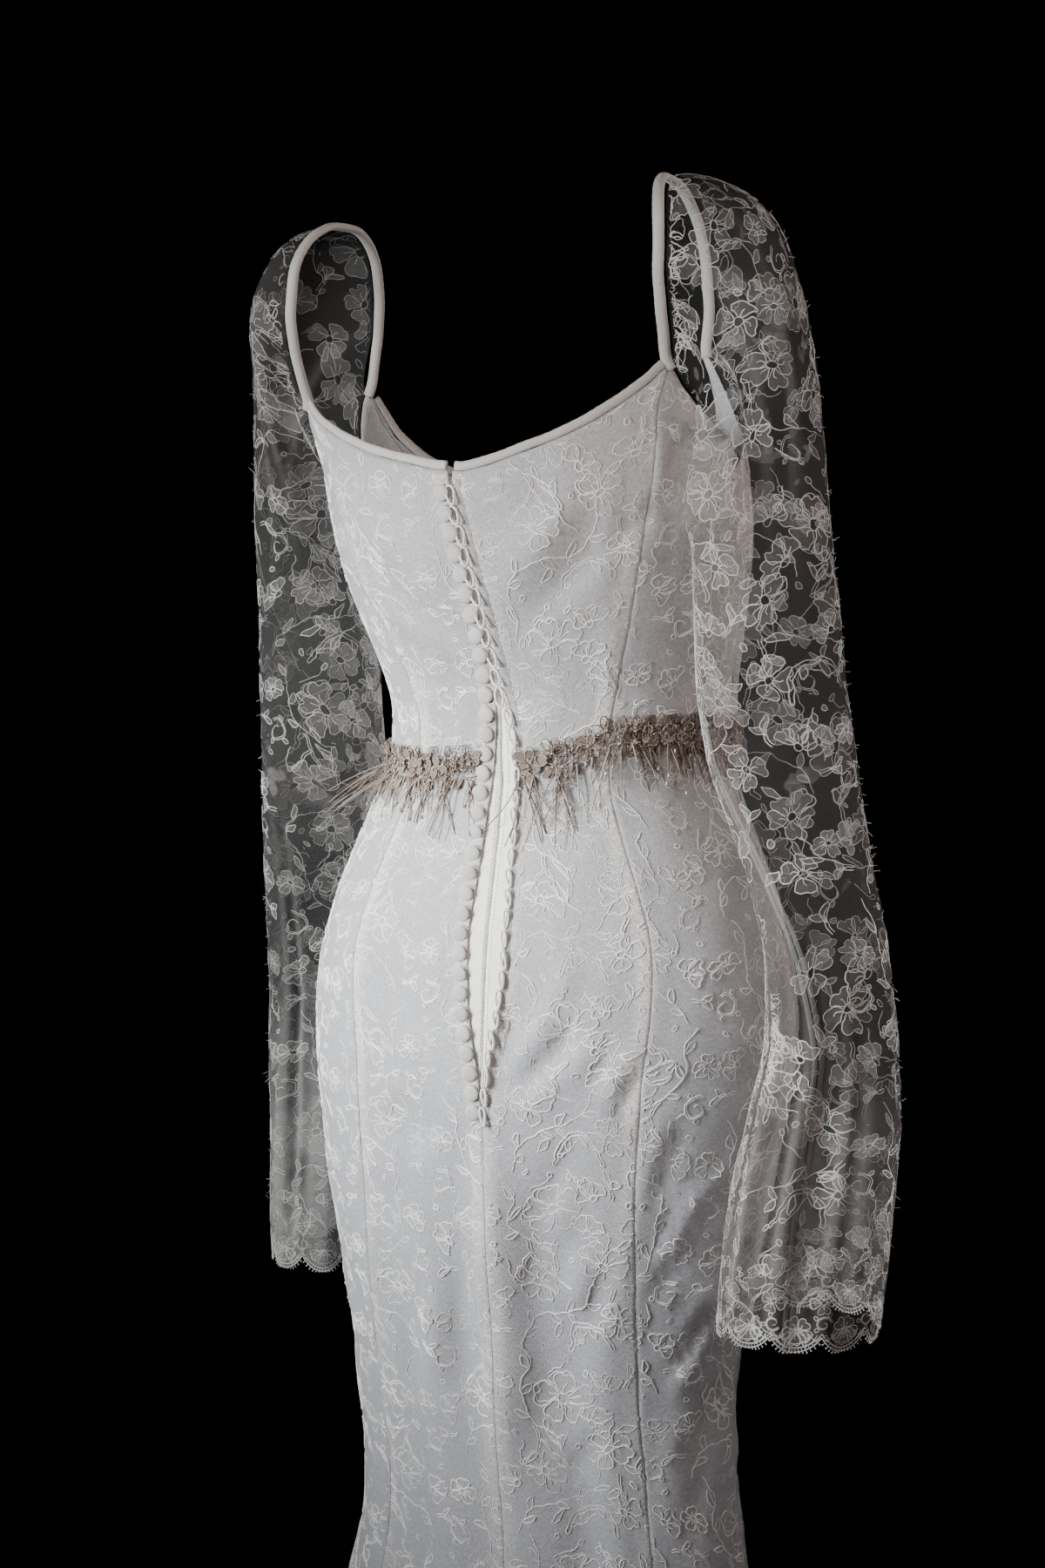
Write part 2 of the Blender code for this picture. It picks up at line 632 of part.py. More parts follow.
beside_strap = BINDING + 0.0040
welt("back_neck_binding_R", *bound_edge(TOPS["centre_back_R"], (0.0, beside_strap)),
     NECK_BINDING, BINDING_DEPTH, BIAS)
welt("back_neck_binding_L", *bound_edge(TOPS["centre_back_L"], (beside_strap, 0.0)),
     NECK_BINDING, BINDING_DEPTH, BIAS)
welt("front_neck_binding", *bound_edge(TOPS["centre_front"], (beside_strap, beside_strap)),
     NECK_BINDING, BINDING_DEPTH, BIAS)

# ------------------------------------------------------------- the back opening
def strip(name, left, right, z, inner, outer, style):
    """A narrow vertical strip under or over the edges of the opening."""
    def face(out):
        return np.stack([cloth(left, z, out), cloth(right, z, out)], 1)
    return wall(name, face(outer), face(inner), style)


def opening_rows(name, column):
    """Heights of a back panel's own rows down the opening."""
    angle, z = EDGES[name, column]
    keep = z >= CLOSURE_END - 1e-6
    keep[0] = False
    return z[keep]


strip_z = opening_rows("centre_back_R", 0)
radius = half(strip_z)
under = -(WALL + 0.0008)
strip("placket_L", open_left(strip_z) - 0.011 / radius, open_middle(strip_z) - g / radius,
      strip_z, under - 0.0011, under, PLACKET)
strip("placket_R", open_middle(strip_z) + g / radius, open_right(strip_z) + 0.011 / radius,
      strip_z, under - 0.0011, under, PLACKET)
strip("loop_strip", open_right(strip_z) + 0.0004 / radius, open_right(strip_z) + 0.0050 / radius,
      strip_z, 0.0007, 0.0022, BIAS)

# ----------------------------------------------------------------- the buttons
def button(index):
    """A small domed covered button on the edge of the left back panel."""
    z = BUTTON_TOP - BUTTON_PITCH * index
    angle = float(open_left(z)) - BUTTON_INSET / float(half(z))
    centre, out = on_cloth(angle, z, 0.0006)
    up = np.array([0.0, 0.0, 1.0]) - out * out[2]
    up /= np.linalg.norm(up)
    across = np.cross(up, out)
    mesh = bmesh.new()
    bmesh.ops.create_uvsphere(mesh, u_segments=10, v_segments=4, radius=1.0)
    for v in mesh.verts:
        rise = (0.30 + 0.70 * v.co.z if v.co.z >= 0 else 0.30 + 0.30 * v.co.z) * BUTTON_RISE
        p = centre + across * v.co.x * BUTTON_RADIUS + up * v.co.y * BUTTON_RADIUS + out * rise
        v.co = place(p)
    name = "button_%02d" % (index + 1)
    data = bpy.data.meshes.new(name)
    mesh.to_mesh(data)
    mesh.free()
    data.materials.append(material(COVERED))
    data.shade_smooth()
    obj = bpy.data.objects.new(name, data)
    PARTS.objects.link(obj)
    return obj


for index in range(BUTTONS):
    button(index)

# ------------------------------------------------------------- the waist trim
def trim(tag, start, stop, cols):
    """Half of the braid and of the fringe that hangs from it."""
    angles = np.linspace(start, stop, cols)
    low, high, foot = braid_low(angles), braid_high(angles), fringe_foot(angles)

    def band(top, bottom, levels, out):
        share = np.linspace(0, 1, levels)
        return np.array([[on_cloth(a, t + (b - t) * u, out)[0]
                          for a, t, b in zip(angles, top, bottom)] for u in share])
    wall("waist_braid_" + tag, band(high, low, 3, 0.0034), band(high, low, 3, 0.0012), TRIM)
    under = low - SEAM_GAP - 0.0002
    wall("fringe_" + tag, band(under, foot, 3, 0.0030), band(under, foot, 3, 0.0014), TRIM)


trim("L", -0.150, -math.pi + 0.002, 26)
trim("R", 0.112, math.pi - 0.002, 26)
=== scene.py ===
"""The look of the long-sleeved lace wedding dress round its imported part.

Metres, +Z up, the front towards -Y and the buttoned back towards +Y.  Every piece
follows the part's own form.  The lace is a plain generic floral design made of a
few element shapes set out by a small table."""
import math

import bmesh
import bpy
import numpy as np
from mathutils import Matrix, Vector


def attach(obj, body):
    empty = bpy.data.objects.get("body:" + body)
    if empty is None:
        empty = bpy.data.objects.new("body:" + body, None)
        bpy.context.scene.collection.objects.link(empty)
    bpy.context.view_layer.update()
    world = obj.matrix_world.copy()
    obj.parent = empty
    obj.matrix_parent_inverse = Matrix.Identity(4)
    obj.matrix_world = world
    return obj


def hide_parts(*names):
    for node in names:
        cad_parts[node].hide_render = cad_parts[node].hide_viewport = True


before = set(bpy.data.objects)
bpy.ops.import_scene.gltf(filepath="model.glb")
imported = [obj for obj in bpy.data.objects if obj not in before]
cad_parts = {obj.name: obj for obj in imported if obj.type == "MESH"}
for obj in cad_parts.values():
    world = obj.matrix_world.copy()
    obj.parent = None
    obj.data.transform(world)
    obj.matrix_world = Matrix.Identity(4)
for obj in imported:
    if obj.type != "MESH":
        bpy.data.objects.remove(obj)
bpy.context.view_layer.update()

# colours of the cloths, as linear values
SATIN_COLOUR, SATIN_SHADE = (0.465, 0.461, 0.465), (0.405, 0.406, 0.424)
BAND_COLOUR = (0.800, 0.765, 0.715)
BIAS_COLOUR, BIAS_SHADE = (0.560, 0.540, 0.510), (0.480, 0.455, 0.425)
PLACKET_COLOUR, PLACKET_SHADE = (0.970, 0.950, 0.915), (0.930, 0.905, 0.865)
BUTTON_COLOUR = (0.530, 0.508, 0.480)
CORD_COLOUR = (0.560, 0.540, 0.527)
BODY_CORD_COLOUR = (0.930, 0.920, 0.915)
BODY_FILL_COLOUR = (0.760, 0.750, 0.755)
LOOP_COLOUR = (0.840, 0.820, 0.785)
STITCH_COLOUR = (0.620, 0.585, 0.530)
NET_COLOUR = (0.560, 0.530, 0.510)
NET_HAZE, NET_THREAD, FILL_ALPHA = 0.0, 0.11, 0.16

# the underarm seam of each sleeve as it hangs: height above the waist, and turn
SLEEVE_SEAM = {
    "sleeve_R": ((0.24, 180), (0.10, 165), (-0.05, 140), (-0.20, 125), (-0.40, 120)),
    "sleeve_L": ((0.24, 180), (0.10, 172), (-0.05, 160), (-0.20, 150), (-0.40, 145)),
}

# ---------------------------------------------------------------- driving sizes
HOLD_HEIGHT = 0.400      # strap tops above the waist
HOLD_DEPTH = 0.095       # strap tops behind the middle of the waist
HEM = -1.050             # floor-length hem, below the waist
WALL = 0.0012            # satin and lace worn as one cloth
LACE_WALL = 0.0010       # sleeve lace, the least wall a cloth solid has
SEAM_GAP = 0.0003        # between neighbouring pieces
LEAN = math.radians(3.0) # the shoulder line drops towards the wearer's left

BUTTONS = 32
BUTTON_RADIUS = 0.0057
BUTTON_RISE = 0.0046
BUTTON_TOP = 0.1925      # height of the highest button
BUTTON_PITCH = 0.01445
BUTTON_INSET = 0.0060    # button centre from the edge of the left back panel
CLOSURE_END = -0.262     # foot of the back opening

BINDING = 0.0042         # half-width of the strap binding
NECK_BINDING = 0.0034    # half-width of the flat neck binding
BINDING_DEPTH = 0.0019   # its half-thickness

# one row per height: sway of the section's middle, half-width, depth to the
# back, depth to the front, squareness (2 is an ellipse)
SECTION_COLUMNS = ("z", "sway", "half", "back", "front", "square")
SECTIONS = (
    (0.34, 0.021, 0.144, 0.148, 0.000, 2.1),
    (0.30, 0.020, 0.157, 0.156, -0.022, 2.1),
    (0.26, 0.015, 0.164, 0.160, -0.046, 2.1),
    (0.22, 0.006, 0.164, 0.160, -0.066, 2.1),
    (0.16, 0.001, 0.161, 0.156, -0.083, 2.1),
    (0.12, -0.002, 0.152, 0.143, -0.087, 2.15),
    (0.08, -0.004, 0.142, 0.126, -0.088, 2.2),
    (0.04, -0.005, 0.134, 0.112, -0.088, 2.3),
    (0.00, -0.002, 0.1335, 0.1065, -0.090, 2.4),
    (-0.04, 0.002, 0.148, 0.110, -0.093, 2.3),
    (-0.08, 0.002, 0.167, 0.120, -0.096, 2.15),
    (-0.12, 0.002, 0.182, 0.129, -0.098, 2.1),
    (-0.16, 0.002, 0.193, 0.135, -0.098, 2.05),
    (-0.20, 0.002, 0.197, 0.137, -0.095, 2.0),
    (-0.24, 0.003, 0.195, 0.136, -0.092, 2.0),
    (-0.30, 0.006, 0.187, 0.130, -0.088, 2.0),
    (-0.36, 0.008, 0.178, 0.1235, -0.082, 2.0),
    (-0.42, 0.009, 0.166, 0.116, -0.074, 2.0),
    (-0.48, 0.008, 0.158, 0.111, -0.064, 2.0),
    (-0.54, 0.003, 0.156, 0.107, -0.055, 2.0),
    (-0.60, 0.000, 0.160, 0.106, -0.056, 2.0),
    (-0.68, 0.000, 0.178, 0.121, -0.068, 2.0),
    (-0.76, 0.000, 0.205, 0.150, -0.092, 2.0),
    (-0.90, 0.000, 0.265, 0.225, -0.150, 2.0),
    (-1.05, 0.000, 0.335, 0.310, -0.225, 2.0),
)

# seam lines as angles round the body: 0 is the centre back, pi the centre
# front, and the same row serves both sides
SEAM_COLUMNS = ("z", "back_princess", "side", "front_princess")
SEAMS = (
    (0.30, 1.180, 1.62, 2.06),
    (0.275, 1.110, 1.62, 2.10),
    (0.235, 0.940, 1.62, 2.22),
    (0.187, 0.861, 1.62, 2.40),
    (0.140, 0.781, 1.61, 2.50),
    (0.092, 0.700, 1.60, 2.52),
    (0.051, 0.610, 1.60, 2.56),
    (0.018, 0.552, 1.60, 2.60),
    (-0.016, 0.560, 1.60, 2.60),
    (-0.053, 0.600, 1.60, 2.56),
    (-0.089, 0.650, 1.60, 2.50),
    (-0.130, 0.688, 1.60, 2.46),
    (-0.174, 0.673, 1.60, 2.44),
    (-0.231, 0.640, 1.60, 2.44),
    (-0.300, 0.650, 1.60, 2.44),
    (-0.395, 0.705, 1.60, 2.42),
    (-0.462, 0.760, 1.60, 2.40),
    (-0.528, 0.780, 1.60, 2.38),
    (-0.600, 0.775, 1.58, 2.38),
    (-1.050, 0.785, 1.57, 2.36),
)

# the back opening: edge of the left panel, where the two placket strips meet,
# and edge of the right panel, as angles
OPENING_COLUMNS = ("z", "left", "middle", "right")
OPENING = (
    (0.215, -0.064, -0.053, -0.043),
    (0.187, -0.058, -0.048, -0.038),
    (0.166, -0.043, -0.034, -0.024),
    (0.127, -0.030, -0.020, -0.009),
    (0.087, -0.025, -0.014, -0.003),
    (0.056, -0.032, -0.016, 0.001),
    (0.030, -0.036, -0.018, 0.022),
    (0.003, -0.036, -0.012, 0.032),
    (-0.020, -0.034, 0.002, 0.055),
    (-0.053, -0.042, 0.006, 0.064),
    (-0.085, -0.053, 0.008, 0.072),
    (-0.127, -0.067, 0.006, 0.074),
    (-0.147, -0.062, 0.007, 0.075),
    (-0.180, -0.053, 0.007, 0.060),
    (-0.209, -0.031, 0.004, 0.034),
    (-0.230, -0.010, 0.006, 0.018),
    (-0.262, 0.005, 0.010, 0.013),
)
# below the opening the centre back is one seam
CENTRE_SEAM_COLUMNS = ("z", "angle")
CENTRE_SEAM = ((-0.262, 0.009), (-0.30, 0.022), (-0.40, 0.037), (-0.47, 0.040),
               (-0.54, 0.014), (-0.60, 0.008), (-1.05, 0.0))

# height of the panels' top edge: back neck, back corner, armhole, front corner,
# front neck; one row for both sides
TOP_COLUMNS = ("angle", "z")
TOP_EDGE = (
    (0.00, 0.2065), (0.10, 0.2090), (0.26, 0.2160), (0.46, 0.2255), (0.68, 0.2395),
    (0.94, 0.2585), (1.11, 0.2710),
    (1.18, 0.2560), (1.27, 0.2410), (1.42, 0.2270), (1.60, 0.2210), (1.76, 0.2260),
    (1.90, 0.2500), (2.06, 0.2890),
    (2.16, 0.2600), (2.30, 0.2360), (2.55, 0.2180), (2.85, 0.2080), (3.1416, 0.2040),
)
BACK_CORNER = 1.11
FRONT_CORNER = 2.06

# path of a strap over the shoulder, drawn for the wearer's right: x, y and
# height, from the back corner over the top to the front corner, and how far
# both straps lean towards the wearer's left with the body
STRAP_COLUMNS = ("phi", "x", "y", "z", "lean")
STRAP = (
    (112.0, -0.1450, 0.1085, 0.2745, 0.0165),
    (98.0, -0.1462, 0.1290, 0.3010, 0.0125),
    (82.0, -0.1455, 0.1490, 0.3330, 0.0065),
    (62.0, -0.1430, 0.1560, 0.3640, 0.0010),
    (42.0, -0.1370, 0.1430, 0.3880, 0.0000),
    (20.0, -0.1315, 0.1190, 0.3990, 0.0000),
    (0.0, -0.1290, 0.0950, 0.4000, 0.0000),
    (-22.0, -0.1300, 0.0680, 0.3910, 0.0010),
    (-45.0, -0.1335, 0.0440, 0.3680, 0.0040),
    (-68.0, -0.1370, 0.0290, 0.3380, 0.0090),
    (-90.0, -0.1400, 0.0210, 0.3130, 0.0140),
    (-112.0, -0.1405, 0.0185, 0.2945, 0.0180),
)
# where the sleeve is set into the body's armhole: ring angle, body angle
ARMHOLE_COLUMNS = ("phi", "angle")
ARMHOLE = ((112.0, 1.110), (128.0, 1.180), (145.0, 1.270), (163.0, 1.430),
           (180.0, 1.600), (198.0, 1.740), (218.0, 1.870), (248.0, 2.060))

# each sleeve below the armhole: height, outer edge x and y, inner edge x and y,
# half-depth across the arm
SLEEVE_COLUMNS = ("z", "outer_x", "outer_y", "inner_x", "inner_y", "half_depth")
SLEEVE_RIGHT = (
    (0.160, -0.2424, 0.084, -0.1490, 0.106, 0.036),
    (0.110, -0.2472, 0.082, -0.1485, 0.104, 0.037),
    (0.060, -0.2518, 0.079, -0.1492, 0.100, 0.038),
    (0.010, -0.2570, 0.074, -0.1543, 0.094, 0.038),
    (-0.040, -0.2634, 0.067, -0.1710, 0.094, 0.036),
    (-0.090, -0.2700, 0.058, -0.1918, 0.100, 0.034),
    (-0.140, -0.2738, 0.048, -0.2066, 0.108, 0.034),
    (-0.190, -0.2764, 0.040, -0.2105, 0.114, 0.037),
    (-0.240, -0.2765, 0.034, -0.2008, 0.118, 0.042),
    (-0.290, -0.2733, 0.030, -0.1902, 0.118, 0.046),
    (-0.340, -0.2687, 0.028, -0.1813, 0.114, 0.050),
    (-0.375, -0.2640, 0.027, -0.1765, 0.110, 0.052),
    (-0.405, -0.2600, 0.026, -0.1735, 0.107, 0.054),
)
SLEEVE_LEFT = (
    (0.160, 0.2400, 0.060, 0.1720, 0.026, 0.034),
    (0.110, 0.2400, 0.056, 0.1600, 0.028, 0.036),
    (0.060, 0.2413, 0.050, 0.1460, 0.030, 0.038),
    (0.010, 0.2456, 0.044, 0.1476, 0.022, 0.038),
    (-0.040, 0.2520, 0.036, 0.1640, 0.004, 0.036),
    (-0.090, 0.2559, 0.028, 0.1850, -0.014, 0.034),
    (-0.140, 0.2581, 0.020, 0.2020, -0.030, 0.034),
    (-0.190, 0.2590, 0.014, 0.2120, -0.036, 0.036),
    (-0.240, 0.2628, 0.010, 0.2110, -0.038, 0.040),
    (-0.290, 0.2645, 0.008, 0.2075, -0.038, 0.044),
    (-0.340, 0.2662, 0.006, 0.2030, -0.036, 0.048),
    (-0.385, 0.2658, 0.006, 0.1960, -0.034, 0.051),
    (-0.424, 0.2640, 0.006, 0.1900, -0.031, 0.053),
)

# waist braid: angle round the body (minus is the wearer's left), lower and
# upper edge, and the foot of the fringe below it
BRAID_COLUMNS = ("angle", "low", "high", "fringe")
BRAID = (
    (-3.1416, -0.010, 0.010, -0.040),
    (-2.40, -0.012, 0.008, -0.044),
    (-1.60, -0.014, 0.010, -0.050),
    (-1.10, -0.017, 0.008, -0.048),
    (-0.60, -0.018, 0.005, -0.044),
    (-0.30, -0.018, 0.006, -0.058),
    (-0.06, -0.017, 0.007, -0.046),
    (0.07, -0.013, 0.005, -0.062),
    (0.25, -0.007, 0.012, -0.060),
    (0.44, 0.001, 0.019, -0.050),
    (0.56, 0.007, 0.027, -0.036),
    (0.80, 0.008, 0.027, -0.028),
    (1.20, 0.008, 0.028, -0.026),
    (1.60, 0.006, 0.026, -0.026),
    (2.40, -0.004, 0.016, -0.034),
    (3.1416, -0.010, 0.010, -0.040),
)

# the largest folds of the skirt and bodice: angle and height of both ends,
# half-width and how far the cloth stands out (a trough is negative)
FOLD_COLUMNS = ("angle_top", "z_top", "angle_foot", "z_foot", "width", "rise")
FOLDS = (
    (0.06, -0.30, 0.16, -0.66, 0.020, 0.0030),
    (0.34, -0.26, 0.44, -0.68, 0.018, -0.0040),
    (0.58, -0.30, 0.62, -0.66, 0.016, 0.0020),
    (1.55, -0.28, 1.05, -0.44, 0.020, 0.0030),
    (1.62, -0.36, 1.10, -0.56, 0.018, -0.0030),
    (-0.30, -0.30, -0.26, -0.66, 0.022, 0.0022),
    (-1.10, -0.34, -0.70, -0.60, 0.020, -0.0026),
    (1.02, 0.19, 0.18, 0.10, 0.014, -0.0024),
    (-1.10, 0.15, -0.20, 0.06, 0.014, -0.0026),
    (2.60, -0.34, 2.75, -0.66, 0.022, -0.0030),
    (-2.60, -0.36, -2.85, -0.64, 0.022, -0.0030),
)
FLUTES = 9               # soft flutes round the hem
FLUTE_RISE = 0.021       # how far they stand out at the hem
FLUTE_START = -0.56

# ------------------------------------------------------------------ functions
def curve_through(xs, ys):
    """A smooth curve through the rows that doesn't swing past them."""
    xs = np.asarray(xs, float)
    ys = np.asarray(ys, float)
    order = np.argsort(xs)
    xs, ys = xs[order], ys[order]
    h = np.diff(xs)
    d = np.diff(ys) / h
    m = np.zeros_like(xs)
    for i in range(1, len(xs) - 1):
        if d[i - 1] * d[i] > 0:
            w1, w2 = 2 * h[i] + h[i - 1], h[i] + 2 * h[i - 1]
            m[i] = (w1 + w2) / (w1 / d[i - 1] + w2 / d[i])
    m[0], m[-1] = d[0], d[-1]

    def at(x):
        x = np.clip(np.asarray(x, float), xs[0], xs[-1])
        i = np.clip(np.searchsorted(xs, x) - 1, 0, len(h) - 1)
        t = (x - xs[i]) / h[i]
        return ((1 + 2 * t) * (1 - t) ** 2 * ys[i] + t * (1 - t) ** 2 * h[i] * m[i]
                + t * t * (3 - 2 * t) * ys[i + 1] + t * t * (t - 1) * h[i] * m[i + 1])
    return at


def columns(rows):
    table = np.array(rows, float)
    return [curve_through(table[:, 0], table[:, k]) for k in range(1, table.shape[1])]


sway, half, back, front, square = columns(SECTIONS)
back_princess, side_seam, front_princess = columns(SEAMS)
open_left, open_middle, open_right = columns(OPENING)
centre_seam, = columns(CENTRE_SEAM)
top_edge, = columns(TOP_EDGE)
braid_low, braid_high, fringe_foot = columns(BRAID)


def step(a, b, x):
    t = np.clip((np.asarray(x, float) - a) / (b - a), 0, 1)
    return t * t * (3 - 2 * t)


def around(angle):
    """The angle brought to between -pi and pi."""
    return (np.asarray(angle) + math.pi) % (2 * math.pi) - math.pi


def section(angle, z):
    """x and y of the figure at one height, with the cups of the bust."""
    cy = (back(z) + front(z)) / 2
    b = (back(z) - front(z)) / 2
    s, c = np.sin(angle), np.cos(angle)
    x = sway(z) - half(z) * np.sign(s) * np.abs(s) ** (2 / square(z))
    y = cy + b * np.sign(c) * np.abs(c) ** (2 / square(z))
    turn = np.abs(around(angle))
    cup = 0.016 * np.exp(-((turn - 2.55) / 0.36) ** 2 - ((z - 0.165) / 0.06) ** 2)
    k = 1 + cup / np.maximum(np.hypot(x, y - 0.03), 1e-6)
    return x * k, 0.03 + (y - 0.03) * k


def folds(angle, z):
    """How far the cloth stands out of the figure: folds, then hem flutes."""
    rise = np.zeros(np.broadcast(angle, z).shape)
    for t0, z0, t1, z1, width, height in FOLDS:
        u = (z0 - z) / (z0 - z1)
        inside = np.clip(u, 0, 1)
        line = t0 + (t1 - t0) * inside
        away = around(angle - line) * half(z)
        ease = step(-0.25, 0.3, u) * (1 - step(0.75, 1.25, u))
        rise = rise + height * ease * np.exp(-(away / width) ** 2)
    grow = step(FLUTE_START, HEM, z) ** 1.2
    rise = rise + FLUTE_RISE * grow * (0.75 * np.cos(FLUTES * angle + 0.5)
                                       + 0.25 * np.cos(5 * angle + 1.9))
    return rise


def tilt(points):
    points = np.array(points, float)
    z = points[..., 2]
    points[..., 2] = z - LEAN * step(-0.05, 0.12, z) * points[..., 0]
    return points


def cloth(angle, z, out=0.0):
    """A point of the dress, moved out from the cloth's outer face."""
    angle, z, out = np.broadcast_arrays(np.asarray(angle, float), np.asarray(z, float),
                                        np.asarray(out, float))
    x, y = section(angle, z)
    x1, y1 = section(angle + 2e-3, z)
    x0, y0 = section(angle - 2e-3, z)
    tx, ty = x1 - x0, y1 - y0
    length = np.hypot(tx, ty)
    out = out + folds(angle, z)
    return tilt(np.stack([x + ty / length * out, y - tx / length * out, z], -1))


def place(points):
    """From heights above the waist to the dress's own origin."""
    return np.asarray(points, float) - np.array([0.0, HOLD_DEPTH, HOLD_HEIGHT])


LEVEL = 0.165


def closure_edge(z, which):
    """Edge of a back panel at the centre back: the opening, then the seam."""
    edge = {"left": open_left, "right": open_right}[which](z)
    sign = -1 if which == "left" else 1
    seam = centre_seam(z) + sign * SEAM_GAP / 2 / half(z)
    return np.where(z > CLOSURE_END, edge, seam)


def seam_edge(curve, z, sign, gap):
    return sign * curve(z) + gap / half(z)


g = SEAM_GAP / 2
def strap_point(phi, side):
    """A point of a strap's middle line before the body's tilt; side is 1 on the left."""
    x, y, z, lean = (curve(phi) for curve in columns(STRAP))
    return np.stack([lean - side * x, y, z], -1)


def armhole_ring(phi, side):
    """The edge that the sleeve lace starts from: beside the strap binding and
    just over the bodice's armhole.  phi is 0 on the shoulder, 180 under the arm."""
    hole = np.array(ARMHOLE, float)
    phi = (np.asarray(phi, float) + 112.0) % 360.0 - 112.0
    points = []
    for f in phi:
        if f <= 112.0:
            beside = BINDING + SEAM_GAP + 0.0013 + 0.0022 * step(-70.0, -95.0, f)
            points.append(tilt(strap_point(f, side) + np.array([side * beside, 0.0, 0.0])))
        else:
            angle = curve_through(hole[:, 0], hole[:, 1])(f)
            z = top_edge(angle) + 0.0016
            points.append(cloth(-side * angle, z, 0.0010))
    return np.array(points)


def sleeve_ring(row, phi):
    z, ox, oy, ix, iy, deep = row
    outer, inner = np.array([ox, oy, z]), np.array([ix, iy, z])
    middle, arm = (outer + inner) / 2, (outer - inner) / 2
    flat = np.array([-arm[1], arm[0], 0.0])
    flat *= deep / np.linalg.norm(flat)
    if flat[1] < 0:
        flat = -flat
    turn = np.radians(phi)[:, None]
    return middle + arm * np.cos(turn) + flat * np.sin(turn)




rng = np.random.RandomState(7)
O = np.array([0.0, HOLD_DEPTH, HOLD_HEIGHT])
